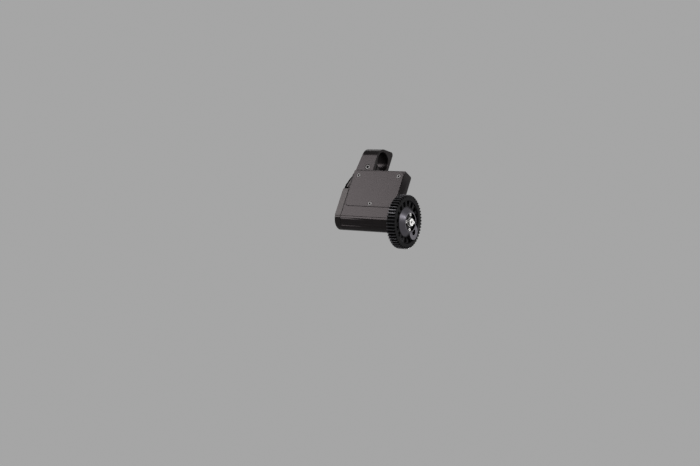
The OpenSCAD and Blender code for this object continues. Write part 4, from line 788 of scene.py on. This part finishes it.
class MOTOR_OT_stage(MotorOperator, bpy.types.Operator):
    """Makes floor, backdrop, lamps and camera"""

    bl_idname = "motor.stage"
    bl_label = "Stage"

    def execute(self, context):
        stage = self.motor.stage
        self.add_world(context.scene, stage)
        self.add_floor(stage)
        self.add_lamps()
        self.add_camera(context.scene, stage)
        context.scene.view_settings.view_transform = "Standard"
        return {"FINISHED"}

    @staticmethod
    def seen(tree):
        """1 for rays that show the background: from the camera, a mirror or glass"""
        rays = add_node(tree, "ShaderNodeLightPath").outputs
        total = rays["Is Camera Ray"]
        for name in ("Is Glossy Ray", "Is Transmission Ray"):
            larger = add_node(tree, "ShaderNodeMath", {0: total, 1: rays[name]}, operation="MAXIMUM")
            total = larger.outputs[0]
        return total

    def add_world(self, scene, stage):
        world = bpy.data.worlds.new("studio")
        world.use_nodes = True
        tree = world.node_tree
        light = tree.nodes["Background"]
        light.inputs["Color"].default_value = (1, 1, 1, 1)
        light.inputs["Strength"].default_value = stage.fill
        backdrop = add_node(tree, "ShaderNodeBackground", {"Color": (*stage.background, 1)})
        inputs = {0: self.seen(tree), 1: light.outputs[0], 2: backdrop.outputs[0]}
        mixed = add_node(tree, "ShaderNodeMixShader", inputs)
        tree.links.new(mixed.outputs[0], tree.nodes["World Output"].inputs["Surface"])
        scene.world = world

    def add_floor(self, stage):
        half = stage.floor_size / 2
        mesh = bpy.data.meshes.new("floor")
        corners = [(-half, -half), (half, -half), (half, half), (-half, half)]
        mesh.from_pydata([(x, y, -stage.floor_drop) for x, y in corners], [], [(0, 1, 2, 3)])
        finish = Finish("floor_paint", Roughness=0.8, Base_Color=(*stage.background, 1))
        glow = finish.node("ShaderNodeEmission", {"Color": (*stage.background, 1)})[0]
        share = finish.math("MULTIPLY", self.seen(finish.tree), stage.floor_glow)
        mixed = finish.node("ShaderNodeMixShader", {0: share, 1: finish.shader.outputs[0], 2: glow})
        finish.tree.links.new(mixed[0], finish.tree.nodes["Material Output"].inputs["Surface"])
        mesh.materials.append(finish.material)
        floor = new_object("floor", mesh)

    def add_lamps(self):
        for name, place, aim, size, power in LAMPS:
            data = bpy.data.lights.new(name, "AREA")
            data.size = size
            data.energy = power
            lamp = bpy.data.objects.new(name, data)
            lamp.location = place
            lamp.rotation_euler = (Vector(aim) - Vector(place)).to_track_quat("-Z", "Y").to_euler()
            bpy.context.scene.collection.objects.link(lamp)

    def add_camera(self, scene, stage):
        data = bpy.data.cameras.new("camera")
        data.lens = stage.lens
        data.sensor_width = 36
        data.sensor_fit = "HORIZONTAL"
        data.clip_start = 0.01
        camera = bpy.data.objects.new("camera", data)
        place = Vector(stage.camera_place)
        sight = (Vector(stage.camera_aim) - place).to_track_quat("-Z", "Y").to_matrix().to_4x4()
        camera.matrix_world = Matrix.Translation(place) @ sight @ Matrix.Rotation(stage.camera_roll, 4, "Z")
        scene.collection.objects.link(camera)
        scene.camera = camera


# Name, place, point aimed at, side of the square, power in watts
LAMPS = [
    ("key", (-0.6, -0.76, 0.26), (0.015, 0, -0.03), 0.42, 4.4),
    ("side", (0.85, -0.5, 0.25), (0.015, 0, -0.04), 0.26, 1.6),
    ("far side", (0.5, 0.72, 0.3), (0.03, 0, -0.04), 0.3, 0.3),
    ("back", (-0.2, 0.95, 0), (0, 0, -0.03), 0.4, 8.0),
    ("top", (-0.3, 0.3, 0.9), (0, 0, -0.03), 0.5, 3.0),
    ("rear", (-0.95, 0.1, 0.15), (0, 0, -0.03), 0.5, 7.0),
]


class MOTOR_OT_finishes(MotorOperator, bpy.types.Operator):
    """Makes every material and gives each CAD node its own"""

    bl_idname = "motor.finishes"
    bl_label = "Finishes"

    def execute(self, context):
        low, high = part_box("drive_gear")
        tip = (high[2] - low[2]) / 2
        FINISHES.update(make_finishes(self.motor.finish, tip, self.motor.gear.hub_recess))
        for node, made in NODES.items():
            made.data.materials.clear()
            made.data.materials.append(FINISHES[SLOT_OF[node]])
        return {"FINISHED"}


class MOTOR_OT_housing(MotorOperator, bpy.types.Operator):
    """Housing, rear cap and cover plate, painted black as shade where they meet on the near side"""

    bl_idname = "motor.housing"
    bl_label = "Housing"

    def execute(self, context):
        edges = self.motor.edges
        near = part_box("rear_cap")[0][1]
        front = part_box("main_housing")[1][0]
        # Shorter edges on the front belong to its holes and round stretches
        shortest = 3 * MM
        front_margin = 1 * MM

        def at_front(edge):
            on_face = all(abs(vert.co.x - front) < MERGE for vert in edge.verts)
            return on_face and edge.calc_length() > shortest

        def at_joint(edge):
            return all(vert.co.y < near + MERGE and vert.co.x < front - front_margin
                       for vert in edge.verts)

        dress_copy("main_housing", "housing_shell", rounding(edges.front, at_front, 4),
                   rebate(edges.joint, at_joint), rounding(edges.housing))
        dress_copy("cover_plate", "side_plate", rebate(edges.plate, at_joint), rounding(edges.housing))
        self.add_cap(edges, near, at_joint)
        return {"FINISHED"}

    def add_cap(self, edges, near, at_joint):
        cap = self.motor.cap
        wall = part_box("rear_gasket")[0][0] - cap.wall
        curve = Vector((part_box("rear_cap")[0][0] + cap.curve_radius, near + cap.depth, -cap.curve_drop))

        # The recess's floor is marked for painted shade, so it is painted near black
        def in_recess(middle, normal):
            faces_near = normal.y < -0.9
            return faces_near and middle.z > -cap.step_drop and middle.x < wall

        dress_copy("rear_cap", "cap_shell", rebate(edges.joint, at_joint), rounding(edges.housing),
                   material=FINISHES["cap_metal"], dark=in_recess)
        pad = new_object("cap_pad", self.pad(cap, curve, wall - cap.pad_gap, cap.pad_rim - cap.step_drop))
        placed(pad, BODY_OF["rear_cap"], SLOT_OF["rear_cap"], material=FINISHES["cap_metal"])

    @staticmethod
    def pad(cap, curve, limit, bottom):
        """Strip on the recess's floor that follows the cap's curve from its bottom up to a limit along X"""
        steps = 24
        lip = 0.1 * MM
        sides = []
        for radius in (cap.curve_radius - cap.pad_rim, cap.curve_radius - cap.pad_rim - cap.pad_width):
            start = math.asin((bottom - curve.z) / radius)
            end = math.acos((curve.x - limit) / radius)
            arc = [start + (end - start) * k / steps for k in range(steps + 1)]
            sides.append([(curve.x - radius * math.cos(a), curve.z + radius * math.sin(a)) for a in arc])
        outline = sides[0] + sides[1][::-1]
        middle = Vector((sum(x for x, z in outline), 0, sum(z for x, z in outline))) / len(outline)
        loops = []
        for height, inset in ((0, 0), (cap.pad_height - lip, 0), (cap.pad_height, lip)):
            loop = []
            for x, z in outline:
                inwards = Vector((middle.x - x, 0, middle.z - z))
                loop.append(Vector((x, curve.y - height, z)) + inwards.normalized() * inset)
            loops.append(loop)
        mesh = skin("cap_pad", loops, edges=(1,))
        smooth(mesh)
        return mesh


class MOTOR_OT_clamp(MotorOperator, bpy.types.Operator):
    """Rod clamp and its lever"""

    bl_idname = "motor.clamp"
    bl_label = "Rod clamp"

    def execute(self, context):
        edges = self.motor.edges
        dress_copy("clamp_block", "clamp_body", rounding(edges.clamp), material=FINISHES["clamp_metal"])
        dress_copy("clamp_lever", "clamp_handle", rounding(edges.clamp))
        dress_copy("lever_washer", "clamp_washer_ring", rounding(edges.small))
        return {"FINISHED"}


# Node, its new name, way out, head height, shank radius, socket width and depth in millimetres
SCREWS = [
    ("cover_screws", "cover_screw_set", "-Y", 0.95, 1.0, 1.5, 0.6),
    ("rear_cap_screws", "cap_screw_set", "-X", 1.2, 1.0, 1.5, 0.7),
    ("hub_screws", "hub_screw_set", "X", 0.9, 0.8, 1.2, 0.5),
    ("centre_screw", "centre_bolt", "X", 1.8, 1.25, 2.0, 1.0),
    ("clamp_screw", "clamp_bolt", "-Y", 1.0, 1.98, 2.0, 1.3),
]


class MOTOR_OT_screws(MotorOperator, bpy.types.Operator):
    """Socket screws of cover, cap, hub, shaft and clamp"""

    bl_idname = "motor.screws"
    bl_label = "Screws"

    def execute(self, context):
        for seed, (node, name, outwards, head_height, shank, socket, depth) in enumerate(SCREWS):
            spots, head, length = faces_at(node, outwards)
            screw = socket_screw(name, head, head_height * MM, shank * MM, length, socket * MM, depth * MM)
            made = at_places(name, screw, node, spots, outwards, seed)
            placed(made, BODY_OF[node], SLOT_OF[node], node)
        return {"FINISHED"}


def tooth_sector(gear, tip, rear, front):
    """One tooth with half a gap on each side, in the middle of its sector, from the rim's rear to front"""
    base = gear.pitch_radius * math.cos(gear.pressure_angle)

    def half_turn(radius):
        slant = math.acos(min(1, base / radius))
        rolled = math.tan(gear.pressure_angle) - gear.pressure_angle - math.tan(slant) + slant
        return TURN / 4 / gear.teeth - gear.play / 2 / gear.pitch_radius + rolled

    steps = 3
    flank = [gear.root_radius + (tip - gear.root_radius) * k / steps for k in range(steps + 1)]
    half = TURN / 2 / gear.teeth
    side = [(half, gear.root_radius), *((half_turn(radius), radius) for radius in flank)]
    outline = [(-angle, radius) for angle, radius in side] + [(0, tip)] + side[::-1]
    inner = gear.rim_radius
    lip = gear.rim_lip

    def section(radius):
        """Cut through the rim up to a radius: points along X and out from the axis"""
        low = min(radius, tip - gear.tooth_break)
        rise = radius - low
        return [(rear, inner + lip), (rear, low), (rear + rise, radius), (front - rise, radius),
                (front, low), (front, inner + lip), (front - lip, inner), (rear + lip, inner)]

    cuts = [[(x, r * math.cos(angle), r * math.sin(angle)) for x, r in section(radius)]
            for angle, radius in outline]
    # The rim's lips carry edge, which the gear's finish paints paler as a highlight
    shape, rows = loft(zip(*cuts), closed=True, open_rows=True, edges=(5, 7))
    bmesh.ops.remove_doubles(shape, verts=shape.verts, dist=MERGE)
    return plain_mesh("tooth_sector", shape, outwards=True)


def window_sector(gear, rear, front):
    """Part of the web round one window, from its hole to just inside the rim"""
    overlap = 0.1 * MM
    inner = gear.web_radius
    outer = gear.rim_radius + overlap
    half = TURN / 2 / gear.windows
    middle = (gear.window_inner + gear.window_outer) / 2
    reach = (gear.window_outer - gear.window_inner) / 2
    open_half = half * gear.window_share
    round_power = 2 / 7
    lip = gear.window_lip
    samples = 40

    def bent(value):
        return math.copysign(abs(value) ** round_power, value)

    def window(grow):
        """Rounded rectangle: points out from the axis and round it"""
        angles = [TURN * k / samples for k in range(samples)]
        return [(middle + (reach + grow) * bent(math.cos(angle)),
                 (open_half + grow / middle) * bent(math.sin(angle))) for angle in angles]

    border = []
    for radius, angle in window(0):
        along = radius - middle
        limits = []
        if abs(along) > MERGE:
            limits.append(((outer if along > 0 else inner) - middle) / along)
        if abs(angle) > MERGE:
            limits.append(half / abs(angle))
        share = min(limits)
        border.append((middle + along * share, angle * share))
    for corner in ((outer, half), (inner, half), (inner, -half), (outer, -half)):
        nearest = min(range(samples), key=lambda k: math.hypot(
            border[k][0] - corner[0], (border[k][1] - corner[1]) * middle))
        border[nearest] = corner
    walls = [(border, front), (window(lip), front), (window(0), front - lip), (window(0), rear + lip),
             (window(lip), rear), (border, rear)]
    loops = [[(x, r * math.cos(a), r * math.sin(a)) for r, a in outline] for outline, x in walls]
    # The windows' bevels carry edge, which the gear's finish paints paler as a highlight
    shape, rows = loft(loops, edges=(1, 3))
    for k in range(samples):
        follow = (k + 1) % samples
        for limit in (inner, outer):
            if abs(border[k][0] - limit) < MERGE and abs(border[follow][0] - limit) < MERGE:
                shape.faces.new((rows[0][k], rows[0][follow], rows[-1][follow], rows[-1][k]))
    bmesh.ops.remove_doubles(shape, verts=shape.verts, dist=MERGE)
    return plain_mesh("window_sector", shape, outwards=True)


def joined(name, parts):
    """One object from several, which are removed"""
    shape = bmesh.new()
    for part in parts:
        shape.from_mesh(part.data)
        bpy.data.objects.remove(part)
    mesh = plain_mesh(name, shape)
    smooth(mesh)
    return new_object(name, mesh)


class MOTOR_OT_gear(MotorOperator, bpy.types.Operator):
    """Drive gear and hub"""

    bl_idname = "motor.gear"
    bl_label = "Drive gear"

    def execute(self, context):
        gear = self.motor.gear
        edges = self.motor.edges
        low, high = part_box("drive_gear")
        tip = (high[2] - low[2]) / 2
        web_front = high[0] - gear.web_recess
        turning = {"Centre": (0, AXIS.y, AXIS.z), "Join": MERGE, "Material": FINISHES["gear_metal"]}
        tooth = tooth_sector(gear, tip, low[0], high[0])
        teeth = grown("teeth", tooth, "ring of sectors", Count=gear.teeth, **turning)
        window = window_sector(gear, web_front - gear.web_thickness, web_front)
        web = grown("web", window, "ring of sectors", Count=gear.windows, **turning)
        made = weighted(joined("gear_ring", [teeth, web]))
        placed(made, BODY_OF["drive_gear"], SLOT_OF["drive_gear"], "drive_gear")
        boss = AXIS + gear.boss_reach * Vector((0, math.cos(gear.boss_turn), math.sin(gear.boss_turn)))
        lip_margin = 1 * MM

        def distance(point, centre):
            return math.hypot(point.y - centre.y, point.z - centre.z)

        # The side boss's hole is marked for painted shade, so its inside is painted black
        def in_hole(middle, normal):
            faces_across = abs(normal.x) < 0.1
            return faces_across and distance(middle, boss) < gear.boss_hole + MERGE

        def at_lip(edge):
            return all(distance(vert.co, AXIS) < gear.hub_recess + lip_margin for vert in edge.verts)

        # The lip round the hub's recess is marked for painted shade
        dress_copy("gear_hub", "hub_cone", rounding(edges.small * 2, at_lip, mark="seam"),
                   rounding(edges.small * 2), dark=in_hole)
        dress_copy("centre_washer", "centre_washer_ring", rounding(edges.small))
        return {"FINISHED"}


class MOTOR_OT_sockets(MotorOperator, bpy.types.Operator):
    """Shells, keys and contact pins of the two connectors"""

    bl_idname = "motor.sockets"
    bl_label = "Connectors"

    def execute(self, context):
        socket = self.motor.socket
        spots, flange, length = faces_at("socket_shells", "-X")
        body = BODY_OF["socket_shells"]
        made = at_places("socket_rings", self.shell(socket, flange, length), "socket_shells", spots, "-X")
        placed(weighted(made), body, "socket_metal", "socket_shells")
        keys = [self.key(socket, spot) for spot in spots]
        placed(joined("socket_keys", keys), body, "socket_metal")
        spots, radius, length = faces_at("socket_pins", "-X")
        made = at_places("contact_pins", self.contact(radius, length), "socket_pins", spots, "-X")
        placed(made, BODY_OF["socket_pins"], "contact_gold", "socket_pins")
        return {"FINISHED"}

    @staticmethod
    def contact(radius, length):
        """Pin with a domed tip"""
        segments = 16
        dome = ((0.35, 0), (0.75, 0.25), (1, 1))
        loops = [ring(radius * width, -radius * drop, segments) for width, drop in dome]
        return skin("contact", [*loops, ring(radius, -length, segments)])

    @staticmethod
    def shell(socket, flange, length):
        """Tube with a notched flange, its mouth at height 0"""
        segments = 96
        notch_turn = math.radians(15)
        lip = socket.lip
        notch = (socket.notch, notch_turn)
        loops = [
            ring(socket.bore + lip, 0, segments),
            ring(flange - lip, 0, segments, notch=notch),
            ring(flange, -lip, segments, notch=notch),
            ring(flange, -socket.flange, segments, notch=notch),
            ring(socket.barrel, -socket.flange, segments),
            ring(socket.barrel, -length, segments),
            ring(socket.bore, -length, segments),
            ring(socket.bore, -lip, segments),
        ]
        return skin("socket_ring", loops, closed=True, edges=(1, 7))

    @staticmethod
    def key(socket, spot):
        """Rounded key along the top of a bore, sunk a little into its wall"""
        half = socket.key_width / 2
        height = 0.9 * half
        sunk = Vector((0, 0, 0.1 * MM))
        steps = 8
        start = spot + Vector((socket.key_start, 0, socket.bore))
        arc = [math.pi * k / steps for k in range(steps + 1)]
        section = [start + Vector((0, half * math.cos(angle), -height * math.sin(angle))) for angle in arc]
        section += [section[-1] + sunk, section[0] + sunk]
        far = Vector((socket.key_length, 0, 0))
        return new_object("key", skin("key", [section, [point + far for point in section]]))


class LensMotor(bpy.types.PropertyGroup):
    """All settings of the motor"""

    stage: bpy.props.PointerProperty(type=MotorStage)
    finish: bpy.props.PointerProperty(type=MotorFinish)
    edges: bpy.props.PointerProperty(type=MotorEdges)
    cap: bpy.props.PointerProperty(type=MotorCap)
    gear: bpy.props.PointerProperty(type=MotorGear)
    socket: bpy.props.PointerProperty(type=MotorSocket)


STEPS = (MOTOR_OT_stage, MOTOR_OT_finishes, MOTOR_OT_housing, MOTOR_OT_clamp, MOTOR_OT_screws,
         MOTOR_OT_gear, MOTOR_OT_sockets)


class MOTOR_PT_panel(bpy.types.Panel):
    """Lists the steps and settings of the motor"""

    bl_idname = "MOTOR_PT_panel"
    bl_label = "Lens motor"
    bl_space_type = "VIEW_3D"
    bl_region_type = "UI"
    bl_category = "Lens motor"

    def draw(self, context):
        motor = context.scene.lens_motor
        for step in STEPS:
            self.layout.operator(step.bl_idname)
        for group in (motor.stage, motor.finish, motor.edges, motor.cap, motor.gear, motor.socket):
            box = self.layout.box()
            for name in group.bl_rna.properties.keys():
                if name not in {"rna_type", "name"}:
                    box.prop(group, name)


CLASSES = (MotorStage, MotorFinish, MotorEdges, MotorCap, MotorGear, MotorSocket, LensMotor, *STEPS,
           MOTOR_PT_panel)


def register():
    for item in CLASSES:
        bpy.utils.register_class(item)
    bpy.types.Scene.lens_motor = bpy.props.PointerProperty(type=LensMotor)


def unregister():
    del bpy.types.Scene.lens_motor
    for item in reversed(CLASSES):
        bpy.utils.unregister_class(item)


def main():
    register()
    bpy.ops.motor.stage()
    bpy.ops.motor.finishes()
    bpy.ops.motor.housing()
    bpy.ops.motor.clamp()
    bpy.ops.motor.screws()
    bpy.ops.motor.gear()
    bpy.ops.motor.sockets()


if __name__ == "__main__":
    main()
